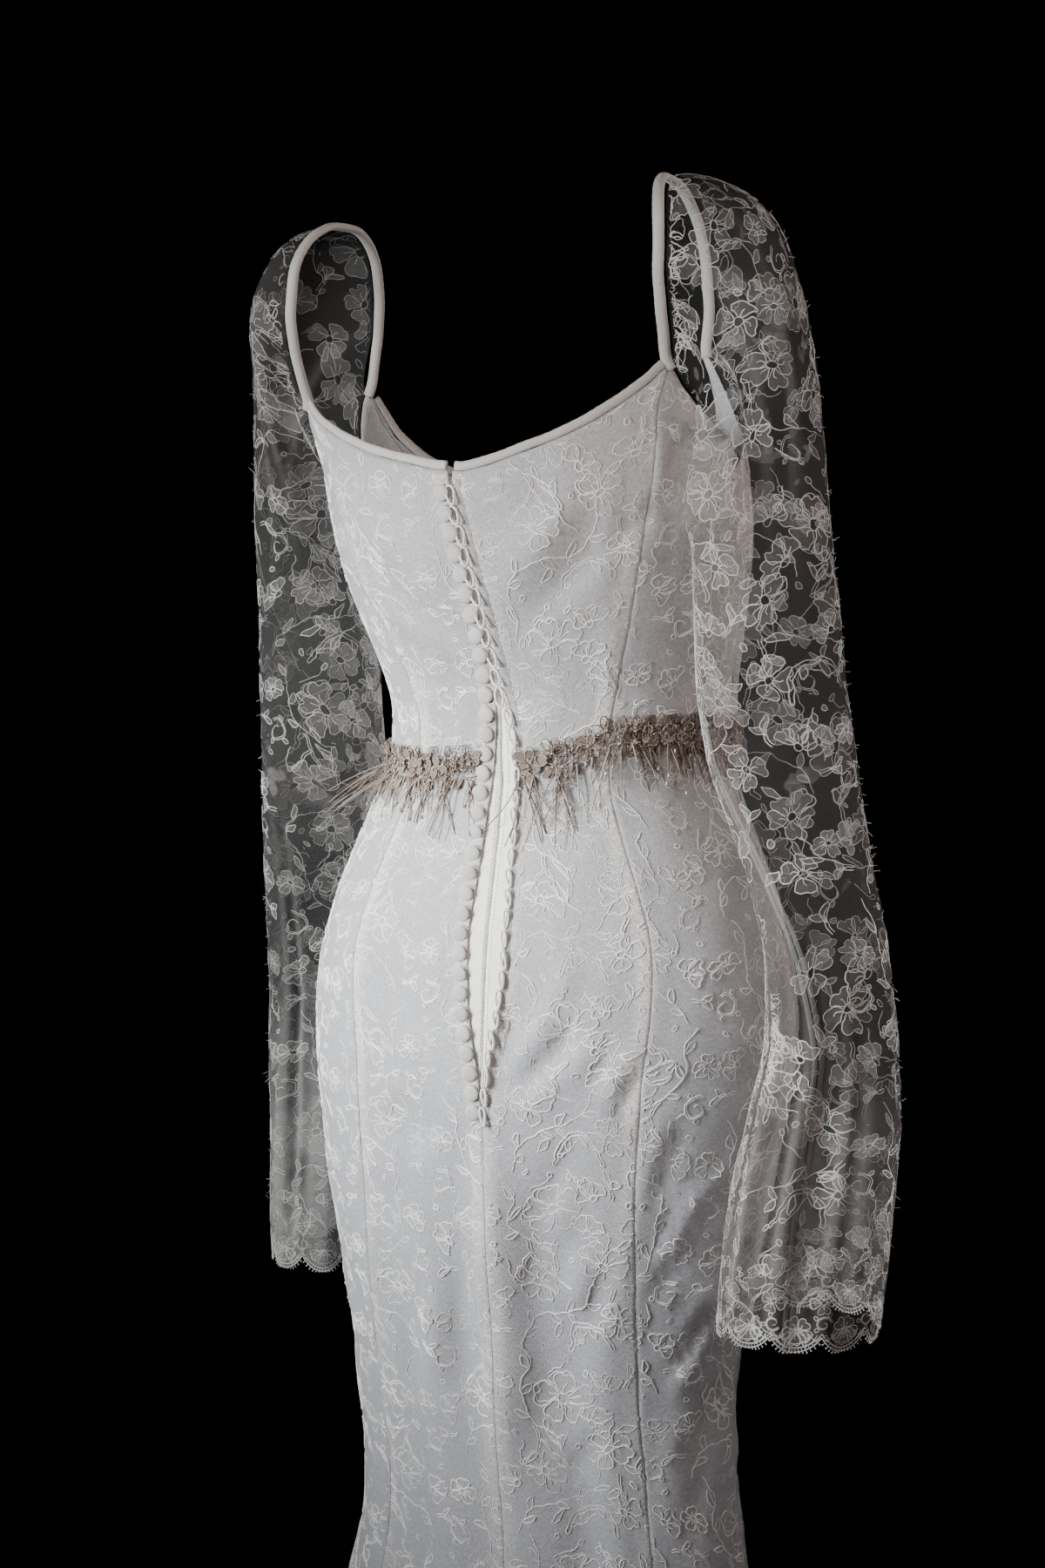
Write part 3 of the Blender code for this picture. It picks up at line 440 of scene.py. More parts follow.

# ------------------------------------------------------------------ relief
# soft creases of the cloth: points (angle, height) along the
# crease, half-width and depth in metres; a trough is negative
CREASES = (
    (((-0.835, 0.167), (-0.515, 0.127), (-0.275, 0.102), (-0.140, 0.082)), 0.0110, -0.0030),
    (((0.555, 0.195), (0.315, 0.152), (0.030, 0.109)), 0.0120, 0.0014),
    (((0.645, 0.179), (0.455, 0.142), (0.160, 0.105)), 0.0140, -0.0026),
    (((0.375, 0.218), (0.250, 0.199)), 0.0120, -0.0008),
    (((0.135, 0.187), (0.025, 0.155)), 0.0130, -0.0009),
    (((0.765, 0.212), (0.675, 0.140), (0.600, 0.102)), 0.0065, -0.0008),
    (((0.620, 0.107), (0.510, 0.045)), 0.0080, 0.0007),
    (((0.335, 0.061), (0.140, 0.016)), 0.0100, 0.0007),
    (((-0.675, 0.076), (-0.395, 0.049)), 0.0080, -0.0016),
    (((0.370, -0.129), (0.180, -0.223)), 0.0090, 0.0014),
    (((0.380, -0.185), (0.130, -0.240)), 0.0080, -0.0018),
    (((0.505, -0.194), (0.305, -0.227), (0.130, -0.260)), 0.0090, 0.0016),
    (((0.620, -0.193), (0.485, -0.244)), 0.0080, 0.0014),
    (((0.635, -0.215), (0.530, -0.260)), 0.0070, -0.0014),
    (((0.130, -0.169), (0.060, -0.252)), 0.0080, -0.0016),
    (((-0.445, -0.255), (-0.230, -0.292)), 0.0200, -0.0030),
    (((0.055, -0.272), (0.030, -0.349), (-0.025, -0.421)), 0.0130, 0.0024),
    (((0.045, -0.436), (0.005, -0.565)), 0.0140, 0.0018),
    (((0.260, -0.286), (0.230, -0.339), (0.235, -0.393), (0.270, -0.460), (0.215, -0.540)), 0.0140, -0.0030),
    (((0.410, -0.291), (0.310, -0.348)), 0.0090, 0.0015),
    (((0.455, -0.346), (0.400, -0.402)), 0.0100, 0.0016),
    (((0.565, -0.362), (0.490, -0.417)), 0.0080, -0.0017),
    (((0.590, -0.492), (0.355, -0.529)), 0.0080, -0.0014),
    (((-0.120, -0.363), (-0.140, -0.472)), 0.0110, -0.0026),
    (((-0.305, -0.395), (-0.265, -0.475)), 0.0120, 0.0024),
    (((1.180, -0.273), (0.965, -0.326), (0.800, -0.375)), 0.0080, 0.0022),
    (((1.130, -0.295), (0.935, -0.343), (0.775, -0.395)), 0.0080, -0.0024),
    (((1.210, -0.386), (1.075, -0.417), (0.945, -0.450)), 0.0070, -0.0022),
    (((1.330, -0.402), (1.105, -0.438), (0.925, -0.470)), 0.0080, 0.0020),
    (((0.840, -0.247), (0.780, -0.289), (0.750, -0.322)), 0.0080, -0.0018),
    (((0.990, -0.290), (0.900, -0.329), (0.805, -0.362)), 0.0060, 0.0014),
    (((1.580, -0.449), (1.200, -0.494), (0.935, -0.529)), 0.0100, -0.0018),
    (((1.075, 0.241), (0.950, 0.163)), 0.0080, -0.0011),
    (((0.960, 0.235), (0.860, 0.139)), 0.0060, 0.0009),
    (((-0.790, 0.206), (-0.560, 0.170), (-0.360, 0.150)), 0.0100, 0.0018),
    (((-0.700, 0.118), (-0.440, 0.090), (-0.240, 0.060)), 0.0110, 0.0016),
    (((-0.560, -0.150), (-0.330, -0.190), (-0.160, -0.205)), 0.0130, -0.0020),
    (((-0.640, -0.360), (-0.480, -0.420), (-0.400, -0.500)), 0.0130, -0.0022),
    # the hidden front: soft drags at the waist, hips and knees, uneven
    (((2.45, 0.120), (2.75, 0.080), (3.02, 0.050)), 0.0110, -0.0018),
    (((-2.50, 0.110), (-2.80, 0.072), (-3.05, 0.046)), 0.0120, -0.0016),
    (((2.30, 0.020), (2.70, 0.004), (3.00, -0.012)), 0.0100, 0.0014),
    (((-2.35, 0.026), (-2.72, 0.000), (-3.06, -0.020)), 0.0095, -0.0015),
    (((1.75, -0.090), (2.20, -0.132), (2.70, -0.150)), 0.0130, 0.0016),
    (((-1.80, -0.100), (-2.25, -0.146), (-2.75, -0.168)), 0.0140, -0.0018),
    (((2.85, -0.240), (3.00, -0.300), (3.04, -0.380)), 0.0150, -0.0020),
    (((-2.90, -0.250), (-3.02, -0.330), (-3.00, -0.420)), 0.0140, 0.0018),
    (((1.70, -0.420), (2.15, -0.462), (2.60, -0.505)), 0.0120, -0.0022),
    (((-1.65, -0.430), (-2.10, -0.478), (-2.65, -0.515)), 0.0130, -0.0020),
    (((1.62, -0.500), (2.00, -0.536), (2.45, -0.566)), 0.0110, 0.0016),
    (((-1.58, -0.508), (-2.05, -0.548), (-2.50, -0.580)), 0.0110, 0.0015),
    (((-1.30, 0.190), (-1.62, 0.150), (-1.95, 0.120)), 0.0100, -0.0014),
    (((1.32, 0.180), (1.66, 0.140), (2.00, 0.118)), 0.0100, -0.0016),
    (((-1.20, -0.300), (-1.00, -0.350), (-0.82, -0.398)), 0.0090, -0.0018),
    (((-1.28, -0.402), (-1.05, -0.440), (-0.88, -0.470)), 0.0085, 0.0016),
    # below the knee, where the skirt opens
    (((0.18, -0.600), (0.22, -0.740), (0.30, -0.900)), 0.0200, -0.0022),
    (((-0.42, -0.620), (-0.50, -0.760), (-0.56, -0.920)), 0.0220, 0.0020),
    (((0.95, -0.600), (1.02, -0.720), (1.10, -0.860)), 0.0210, -0.0020),
    (((-1.00, -0.610), (-1.10, -0.750), (-1.16, -0.900)), 0.0200, -0.0018),
)


def bilinear(table, r, c):
    """table sampled at fractional rows and columns."""
    r = np.clip(r, 0, table.shape[0] - 1.001)
    c = np.clip(c, 0, table.shape[1] - 1.001)
    i, j = r.astype(int), c.astype(int)
    fr, fc = r - i, c - j
    if table.ndim == 3:
        fr, fc = fr[..., None], fc[..., None]
    return ((table[i, j] * (1 - fc) + table[i, j + 1] * fc) * (1 - fr)
            + (table[i + 1, j] * (1 - fc) + table[i + 1, j + 1] * fc) * fr)


def crease_field(angle, z):
    angle, z = np.broadcast_arrays(np.asarray(angle, float), np.asarray(z, float))
    total = np.zeros(angle.shape)
    radius = half(z)
    for points, width, height in CREASES:
        best = np.full(angle.shape, 9.0)
        run = np.zeros(angle.shape)
        side = np.zeros(angle.shape)
        lengths = [0.0]
        for (a0, z0), (a1, z1) in zip(points, points[1:]):
            lengths.append(lengths[-1] + math.hypot((a1 - a0) * 0.15, z1 - z0))
        for k, ((a0, z0), (a1, z1)) in enumerate(zip(points, points[1:])):
            px, pz = around(angle - a0) * radius, z - z0
            dx, dz = (a1 - a0) * radius, z1 - z0
            length2 = dx * dx + dz * dz
            t = (px * dx + pz * dz) / length2
            tc = np.clip(t, 0, 1)
            away = np.hypot(px - dx * tc, pz - dz * tc)
            nearer = away < best
            best = np.where(nearer, away, best)
            run = np.where(nearer, (lengths[k] + tc * (lengths[k + 1] - lengths[k]))
                           / lengths[-1], run)
            side = np.where(nearer, np.sign(px * dz - pz * dx), side)
        near = best < 4 * width
        ease = step(-0.02, 0.30, run) * (1 - step(0.70, 1.02, run))
        d = best * side / width
        shape = np.exp(-d * d) - 0.42 * np.exp(-((d - 1.7) / 1.1) ** 2)
        total = total + np.where(near, height * ease * shape, 0.0)
    return total


# the creases change slowly, so they are worked out once on a table
CREASE_A = np.linspace(-math.pi, math.pi, 721)
CREASE_Z = np.linspace(0.32, HEM, 380)
CREASE_TABLE = crease_field(CREASE_A[None, :], CREASE_Z[:, None])


def crease_relief(angle, z):
    c = (around(angle) + math.pi) / (2 * math.pi) * (len(CREASE_A) - 1)
    r = (CREASE_Z[0] - z) / (CREASE_Z[0] - CREASE_Z[-1]) * (len(CREASE_Z) - 1)
    return 1.45 * bilinear(CREASE_TABLE, r, c)


def seam_distance(angle, z):
    """Signed distance to each seam; minus is towards the centre back."""
    turn = np.abs(around(angle))
    radius = half(z)
    return [(turn - curve(z)) * radius for curve in (back_princess, side_seam, front_princess)]


def ripple(a, b, k):
    return (np.sin(a * 1.0 + b * 0.7 + k) * np.sin(b * 1.3 - a * 0.4 + 2.1 * k)
            + 0.5 * np.sin(a * 2.3 - b * 1.1 + 1.7 * k))


def relief(angle, z):
    """How far the worn cloth stands out from the smooth form."""
    angle, z = np.broadcast_arrays(np.asarray(angle, float), np.asarray(z, float))
    x = around(angle) * half(z)
    rise = crease_relief(angle, z)
    # the cloth is never quite smooth
    rise = rise + 0.00035 * ripple(x * 62, z * 41, 0.3) + 0.00016 * ripple(x * 170, z * 120, 1.9)
    # pressed seam allowances, the stitched groove and its puckers
    for k, d in enumerate(seam_distance(angle, z)):
        band = step(-0.0140, -0.0118, d) * (1 - step(-0.0016, 0.0, d))
        band = band + 0.55 * step(0.0004, 0.0016, d) * (1 - step(0.0080, 0.0105, d))
        groove = np.exp(-(d / 0.0011) ** 2)
        pucker = np.exp(-np.abs(d) / 0.008) * np.sin(z * 430 + 1.3 * np.sin(z * 61 + k) + d * 160)
        rise = rise + 0.00050 * band - 0.00034 * groove + 0.00020 * pucker
    # centre back seam below the opening, and the turned edges of the opening
    d = (around(angle) - centre_seam(z)) * half(z)
    below = 1 - step(CLOSURE_END - 0.006, CLOSURE_END + 0.002, z)
    band = step(-0.0125, -0.0105, d) * (1 - step(0.0098, 0.0118, d))
    rise = rise + below * (0.00040 * band - 0.00036 * np.exp(-(d / 0.0011) ** 2)
                           + 0.00022 * np.exp(-np.abs(d) / 0.008)
                           * np.sin(z * 400 + 2.0 * np.sin(z * 47)))
    above = 1 - below
    for edge, sign in ((open_left, -1), (open_right, 1)):
        d = sign * (around(angle) - edge(z)) * half(z)
        inside = (d > -0.001) & (d < 0.03)
        roll = -0.0004 * np.exp(-np.maximum(d, 0) / 0.0009)
        turned = 0.0005 * (1 - step(0.0095, 0.0115, d))
        stitch = 0.00030 * np.exp(-((d - 0.0100) / 0.0008) ** 2)
        pull = 0.00030 * np.exp(-d / 0.012) * np.sin(z * 2 * math.pi / BUTTON_PITCH + 0.9)
        rise = rise + np.where(inside, above * (roll + turned - stitch + pull), 0.0)
    # drawn in a little under the neck and armhole bindings
    top = top_edge(np.abs(around(angle)))
    drop = top - z
    rise = rise + np.exp(-np.clip(drop, 0, 1) / 0.010) * 0.00035 * np.sin(x * 520 + 1.5 * np.sin(x * 83))
    return rise


def skin(angle, z, out=0.0):
    """A point of the worn cloth, moved out from its face, in the dress's frame."""
    return place(cloth(angle, z, np.asarray(out, float) + relief(angle, z)))


def skin_normal(angle, z, point=None):
    if point is None:
        point = skin(angle, z)
    a = skin(np.asarray(angle) + 2.5e-3, z) - point
    b = skin(angle, np.asarray(z) + 8e-4) - point
    n = np.cross(b, a)
    n /= np.linalg.norm(n, axis=-1)[..., None]
    out = place(cloth(angle, z, 0.01)) - place(cloth(angle, z))
    return n * np.sign((n * out).sum(-1))[..., None]


# ------------------------------------------- flat lengths over the whole body
TABLE_Z = np.linspace(0.32, HEM, 344)
TABLE_A = np.linspace(-3.35, 4.40, 466)
_p = cloth(TABLE_A[None, :], TABLE_Z[:, None])
_seg = np.linalg.norm(np.diff(_p, axis=1), axis=2)
ARC = np.concatenate([np.zeros((len(TABLE_Z), 1)), np.cumsum(_seg, 1)], 1)
ARC -= np.array([np.interp(0.0, TABLE_A, row) for row in ARC])[:, None]
ARC_U = np.linspace(-1.15, 1.50, 663)
ANGLE_OF = np.array([np.interp(ARC_U, row, TABLE_A) for row in ARC])


def z_row(z):
    return (TABLE_Z[0] - z) / (TABLE_Z[0] - TABLE_Z[-1]) * (len(TABLE_Z) - 1)


def arc_at(angle, z):
    c = (angle - TABLE_A[0]) / (TABLE_A[-1] - TABLE_A[0]) * (len(TABLE_A) - 1)
    return bilinear(ARC, z_row(z), c)


def angle_at(arc, z):
    c = (arc - ARC_U[0]) / (ARC_U[-1] - ARC_U[0]) * (len(ARC_U) - 1)
    return bilinear(ANGLE_OF, z_row(z), c)


class Panel:
    """A cut piece of the body: edges as angles, and its own flat coordinates."""

    def __init__(self, name, left, right, cols):
        self.name, self.left, self.right, self.cols = name, left, right, cols
        z = TABLE_Z
        self.mid = (left(z) + right(z)) / 2
        line = cloth(self.mid, z)
        run = np.concatenate([[0.0], np.cumsum(np.linalg.norm(np.diff(line, axis=0), axis=1))])
        self.v = run - np.interp(-0.0, -z, run)      # 0 at the waist, more downwards
        self.mid_arc = arc_at(self.mid, z)

    def flat(self, angle, z):
        mid = np.interp(-z, -TABLE_Z, self.mid_arc)
        return arc_at(angle, z) - mid, np.interp(-z, -TABLE_Z, self.v)

    def unflat(self, u, v):
        z = -np.interp(v, self.v, -TABLE_Z)
        return angle_at(u + np.interp(-z, -TABLE_Z, self.mid_arc), z), z

    def inside(self, angle, z, margin=0.0006):
        radius = half(z)
        ok = ((angle - self.left(z)) * radius > margin) & ((self.right(z) - angle) * radius > margin)
        ok &= z < top_edge(np.abs(around(angle))) - 0.001
        return ok & (z > HEM + 0.001)

    def grid(self):
        edge = np.array([0.0, 0.006, 0.014, 0.026, 0.045, 0.075, 0.115, 0.16])
        middle = np.linspace(0.16, 0.84, self.cols - 14)[1:-1]
        u = np.concatenate([edge, middle, 1 - edge[::-1]])
        z_top = np.full(len(u), 0.23)
        for _ in range(40):
            angle = self.left(z_top) + (self.right(z_top) - self.left(z_top)) * u
            z_top = 0.5 * z_top + 0.5 * top_edge(np.abs(around(angle)))
        neck = np.linspace(0, 1, 13)[:-1]
        rows = np.concatenate([np.arange(LEVEL, -0.62, -0.0070), np.linspace(-0.625, HEM, 36)])
        z = np.concatenate([z_top[None] + (LEVEL - z_top)[None] * neck[:, None],
                            np.repeat(rows[:, None], len(u), 1)])
        angle = self.left(z) + (self.right(z) - self.left(z)) * u[None]
        return angle, z


NEAR = 0.00004           # the worn panels meet in their seams


def back_edge(z, which):
    edge = {"left": open_left, "right": open_right}[which](z)
    seam = centre_seam(z) + (-1 if which == "left" else 1) * NEAR / half(z)
    return np.where(z > CLOSURE_END, edge, seam)


PANELS = [
    Panel("centre_back_L", lambda z: seam_edge(back_princess, z, -1, NEAR),
          lambda z: back_edge(z, "left"), 26),
    Panel("centre_back_R", lambda z: back_edge(z, "right"),
          lambda z: seam_edge(back_princess, z, 1, -NEAR), 28),
    Panel("side_back_L", lambda z: seam_edge(side_seam, z, -1, NEAR),
          lambda z: seam_edge(back_princess, z, -1, -NEAR), 24),
    Panel("side_back_R", lambda z: seam_edge(back_princess, z, 1, NEAR),
          lambda z: seam_edge(side_seam, z, 1, -NEAR), 26),
    Panel("side_front_L", lambda z: seam_edge(front_princess, z, -1, NEAR),
          lambda z: seam_edge(side_seam, z, -1, -NEAR), 22),
    Panel("side_front_R", lambda z: seam_edge(side_seam, z, 1, NEAR),
          lambda z: seam_edge(front_princess, z, 1, -NEAR), 22),
    Panel("centre_front", lambda z: seam_edge(front_princess, z, 1, NEAR),
          lambda z: 2 * math.pi - front_princess(z) - NEAR / half(z), 30),
]


# ------------------------------------------------------------ sleeve surfaces
class Sleeve:
    """The worn sleeve as a fine grid round the arm, with flat coordinates.

    Rows run from the armhole to the wrist; phi 0 is the outer line, 90 the back
    and 180 the underarm seam."""
    AROUND = 96
    CAP, ARM = 46, 150

    def __init__(self, name, side, table):
        self.name, self.side = name, side
        phi = np.linspace(-180, 180, self.AROUND + 1)
        self.phi = phi
        start = armhole_ring(phi % 360, side)
        table = np.array(table, float)
        first, second = sleeve_ring(table[0], phi), sleeve_ring(table[1], phi)
        crown = ((1 + np.cos(np.radians(phi))) / 2)[:, None]
        wide, lift = (0.255, 0.020) if side < 0 else (0.225, -0.010)
        leave = np.concatenate([side * (0.055 + (wide - 0.02) * crown), 0 * crown,
                                lift * crown - 0.010 * (1 - crown)], 1)
        arrive = second - first
        arrive /= np.linalg.norm(arrive, axis=1)[:, None]
        arrive = arrive * (0.060 + 0.220 * crown)
        rows = []
        for t in np.linspace(0, 1, self.CAP + 1)[:-1]:
            rows.append((1 + 2 * t) * (1 - t) ** 2 * start + t * (1 - t) ** 2 * leave
                        + t * t * (3 - 2 * t) * first + t * t * (t - 1) * arrive)
        curves = [curve_through(table[:, 0], table[:, k]) for k in range(1, 6)]
        for z in np.linspace(table[0, 0], table[-1, 0], self.ARM):
            rows.append(sleeve_ring([z] + [float(c(z)) for c in curves], phi))
        grid = np.array(rows)
        # the underarm seam joins both ends of each row
        grid[:, -1] = grid[:, 0]
        if side < 0:
            turn = ((phi % 360) - 150.0)
            share = np.arange(len(grid))[:, None] / 46.0
            fall = step(0.03, 0.34, share) * (1 - step(0.72, 1.10, share))
            fall = fall * np.exp(-(turn[None] / 34.0) ** 2)
            grid = grid + fall[..., None] * np.array([0.0105, 0.0150, 0.0])
        self.smooth = place(grid)
        self.crumple()
        self.measure()

    def normals(self, grid):
        a = np.zeros_like(grid)
        a[:, 1:-1] = grid[:, 2:] - grid[:, :-2]
        a[:, 0] = a[:, -1] = grid[:, 1] - grid[:, -2]
        n = np.cross(a, np.gradient(grid, axis=0))
        n /= np.maximum(np.linalg.norm(n, axis=2), 1e-9)[..., None]
        centre = grid[:, :-1].mean(1, keepdims=True)
        flip = np.sign((n * (grid - centre)).sum(2).mean())
        return n * flip

    def crumple(self):
        """Soft wrinkles of worn lace, as listed: phi, row share, half-widths, height."""
        n = self.normals(self.smooth)
        rows = np.linspace(0, 1, self.smooth.shape[0])[:, None]
        phi = self.phi[None]
        rise = np.zeros(self.smooth.shape[:2])
        self.fold = np.zeros(self.smooth.shape[:2])
        for p, r, slope, wide, tall, height in (SLEEVE_FOLDS_R if self.side < 0 else SLEEVE_FOLDS_L):
            away = (phi - p + 180) % 360 - 180
            line = (rows - r) - slope * away / 100
            rise += height * np.exp(-(away / wide) ** 2) * np.exp(-(line / tall) ** 2)
            if tall > 0.08:
                # the net lies double along a pleat
                self.fold = np.maximum(self.fold, abs(height) / 0.005 * np.exp(
                    -((away - 0.4 * wide) / (0.42 * wide)) ** 2) * np.exp(-(line / tall) ** 2))
        turn = np.radians(phi)
        rise += 0.0007 * np.sin(3 * turn + 9 * rows) * np.sin(26 * rows + 2 * turn + self.side)
        rise += 0.0006 * np.cos(11 * turn + 3 * rows) * np.exp(-rows / 0.10)
        if self.side < 0:
            away = (phi - 8 + 180) % 360 - 180
            rise += 0.0030 * np.exp(-(away / 26) ** 2) * np.exp(-((rows - 0.070) / 0.026) ** 2)
        # fade at the armhole, where the lace is sewn down
        rise *= step(0.0, 0.05, rows)
        self.grid = self.smooth + n * rise[..., None]
        self.normal = self.normals(self.grid)

    def measure(self):
        grid = self.grid
        down = np.linalg.norm(np.diff(grid, axis=0), axis=2)
        total = down.sum(0)
        run = np.concatenate([np.zeros((1, grid.shape[1])), np.cumsum(down, 0)])
        self.v = total[None] - run                 # 0 at the wrist, more upwards
        across = np.linalg.norm(np.diff(grid, axis=1), axis=2)
        u = np.concatenate([np.zeros((grid.shape[0], 1)), np.cumsum(across, 1)], 1)
        zero = u[:, self.AROUND // 2]
        self.u = u - zero[:, None]
        self.girth = u[:, -1]
        self.v_axis = np.linspace(-0.01, self.v.max(), 420)
        r = np.arange(grid.shape[0], dtype=float)
        self.row_of = np.array([np.interp(self.v_axis, self.v[::-1, j], r[::-1])
                                for j in range(grid.shape[1])]).T
        self.u_axis = np.linspace(-0.28, 0.28, 281)
        c = np.arange(grid.shape[1], dtype=float)
        self.col_of = np.array([np.interp(self.u_axis, self.u[i], c) for i in range(grid.shape[0])])
        self.u_min, self.u_max = self.u[:, 0], self.u[:, -1]

    def locate(self, u, v):
        """Fractional row and column of flat points, and whether they are on the lace."""
        col = np.full(u.shape, self.AROUND / 2.0)
        fv = (v - self.v_axis[0]) / (self.v_axis[-1] - self.v_axis[0]) * (len(self.v_axis) - 1)
        fu = (u - self.u_axis[0]) / (self.u_axis[-1] - self.u_axis[0]) * (len(self.u_axis) - 1)
        row = bilinear(self.row_of, fv, col)
        for _ in range(5):
            col = bilinear(self.col_of, row, fu)
            row = bilinear(self.row_of, fv, col)
        n = np.arange(len(self.u_min))
        ok = (u > np.interp(row, n, self.u_min) + 0.0008) & (u < np.interp(row, n, self.u_max) - 0.0008)
        top = np.interp(col, np.arange(self.v.shape[1]), self.v[0])
        ok &= (v < top - 0.0015) & (v > self.hem(u) + 0.0002)
        return row, col, ok

    def square(self, lines, middles):
        """Lines laid out square to the cloth about their motif's middle, where the
        cap's rows and columns cross at a slant. Given back in flat coordinates."""
        flat, line = packed(lines)
        middle = np.array(middles)[line]
        row, col, _ = self.locate(middle[:, 0], middle[:, 1])
        rows = self.smooth.shape[0]
        r0, c0 = np.clip(row, 1.5, rows - 2.5), np.clip(col, 1.5, self.AROUND - 1.5)
        down = (bilinear(self.smooth, r0 + 1.5, c0) - bilinear(self.smooth, r0 - 1.5, c0)) / 3
        along = (bilinear(self.smooth, r0, c0 + 1.5) - bilinear(self.smooth, r0, c0 - 1.5)) / 3
        unit = lambda a: a / np.maximum(np.linalg.norm(a, axis=1), 1e-9)[:, None]
        right, up = unit(along), -unit(down)
        both, apart = unit(right + up), unit(right - up)
        right, up = (both + apart) / math.sqrt(2), (both - apart) / math.sqrt(2)
        step_uv = flat - middle
        reach = right * step_uv[:, :1] + up * step_uv[:, 1:]
        aa, ab, bb = (down * down).sum(1), (down * along).sum(1), (along * along).sum(1)
        ra, rb = (down * reach).sum(1), (along * reach).sum(1)
        det = np.maximum(aa * bb - ab * ab, 0.05 * aa * bb)
        new_row = row + (ra * bb - rb * ab) / det
        new_col = col + (rb * aa - ra * ab) / det
        v = bilinear(self.v, row, new_col) - (new_row - row) * np.sqrt(aa)
        off = (v > bilinear(self.v, 0 * row, new_col) - 0.001)
        off |= (new_col < 0.4) | (new_col > self.AROUND - 0.4)
        off |= self.crowded(middle, row, col, ab / np.sqrt(aa * bb))
        at = (v - self.v_axis[0]) / (self.v_axis[-1] - self.v_axis[0]) * (len(self.v_axis) - 1)
        u = bilinear(self.u, bilinear(self.row_of, at, new_col), new_col)
        out = np.stack([np.where(off, 9.0, u), np.where(off, 9.0, v)], 1)
        return np.split(out, np.cumsum([len(one) for one in lines])[:-1])

    def crowded(self, middle, row, col, slant):
        """True for the points of motifs that would lie over others."""
        key = np.round(middle * 1e5).astype(int)
        _, first, of = np.unique(key, axis=0, return_index=True, return_inverse=True)
        of = of.reshape(-1)
        place_of = bilinear(self.smooth, row[first], col[first])
        size = np.bincount(of)[np.arange(len(first))]
        kept, drop = [], np.zeros(len(first), bool)
        # the larger motifs are laid first
        for k in np.argsort(-size, kind="stable"):
            gap = 0.0160 + 0.0100 * min(1.0, size[k] / 105.0)
            near = [j for j in kept if np.sum((place_of[j] - place_of[k]) ** 2) < gap * gap]
            if abs(slant[first[k]]) > 0.16 and near:
                drop[k] = True
            else:
                kept.append(k)
        return drop[of]

    def hem(self, u):
        """Height of the scalloped edge above the lowest points of the hem."""
        wide = 0.0362
        k = np.abs(np.sin(np.pi * (u + 0.011) / wide))
        return 0.0125 * (1 - k ** 0.75)

    def point(self, u, v, out):
        row, col, ok = self.locate(u, v)
        p = bilinear(self.grid, row, col)
        n = bilinear(self.normal, row, col)
        n /= np.linalg.norm(n, axis=-1)[..., None]
        return p + n * np.asarray(out)[..., None], n, ok


# wrinkles of the sleeves: phi, row share, slope, half-widths and height
SLEEVE_FOLDS_R = (
    (70, 0.300, 0.030, 46, 0.0110, -0.0022),
    (100, 0.345, -0.040, 40, 0.0090, 0.0018),
    (55, 0.405, 0.050, 44, 0.0100, -0.0026),
    (95, 0.440, 0.020, 38, 0.0080, 0.0020),
    (60, 0.478, -0.030, 46, 0.0085, -0.0030),
    (110, 0.505, 0.040, 42, 0.0075, 0.0026),
    (75, 0.532, 0.010, 50, 0.0080, -0.0034),
    (50, 0.562, -0.050, 40, 0.0080, 0.0026),
    (90, 0.590, 0.030, 46, 0.0085, -0.0028),
    (65, 0.640, 0.060, 42, 0.0110, 0.0022),
    (100, 0.690, -0.050, 40, 0.0110, -0.0022),
    (60, 0.750, 0.040, 38, 0.0130, -0.0020),
    (-60, 0.470, 0.030, 44, 0.0095, -0.0026),
    (-80, 0.515, -0.030, 44, 0.0090, 0.0024),
    (-70, 0.560, 0.020, 46, 0.0090, -0.0030),
    (-50, 0.650, 0.050, 42, 0.0120, -0.0022),
    (150, 0.520, 0.020, 36, 0.0080, -0.0028),
    (-150, 0.545, -0.020, 36, 0.0080, -0.0026),
    (35, 0.850, 0.0, 16, 0.1200, -0.0030),
    (80, 0.880, 0.0, 14, 0.1000, 0.0026),
    (125, 0.860, 0.0, 15, 0.1100, -0.0028),
    (-40, 0.870, 0.0, 16, 0.1100, 0.0026),
    (-95, 0.860, 0.0, 15, 0.1200, -0.0030),
    (-140, 0.880, 0.0, 14, 0.1000, 0.0024),
    (75, 0.130, 0.0, 10, 0.1000, -0.0022),
    (45, 0.120, 0.0, 9, 0.0900, 0.0018),
    (110, 0.160, 0.1, 12, 0.0700, 0.0020),
    (-70, 0.130, 0.0, 10, 0.1000, -0.0020),
    # long soft pleats that hang from the elbow on the inner side
    (96, 0.860, 0.0, 9, 0.150, 0.0046),
    (113, 0.850, 0.0, 8, 0.160, -0.0050),
    (130, 0.850, 0.0, 9, 0.160, 0.0050),
    (147, 0.860, 0.0, 8, 0.150, -0.0044),
    (163, 0.870, 0.0, 9, 0.130, 0.0040),
    (78, 0.890, 0.0, 8, 0.110, -0.0040),
    (60, 0.910, 0.0, 9, 0.090, 0.0034),
)
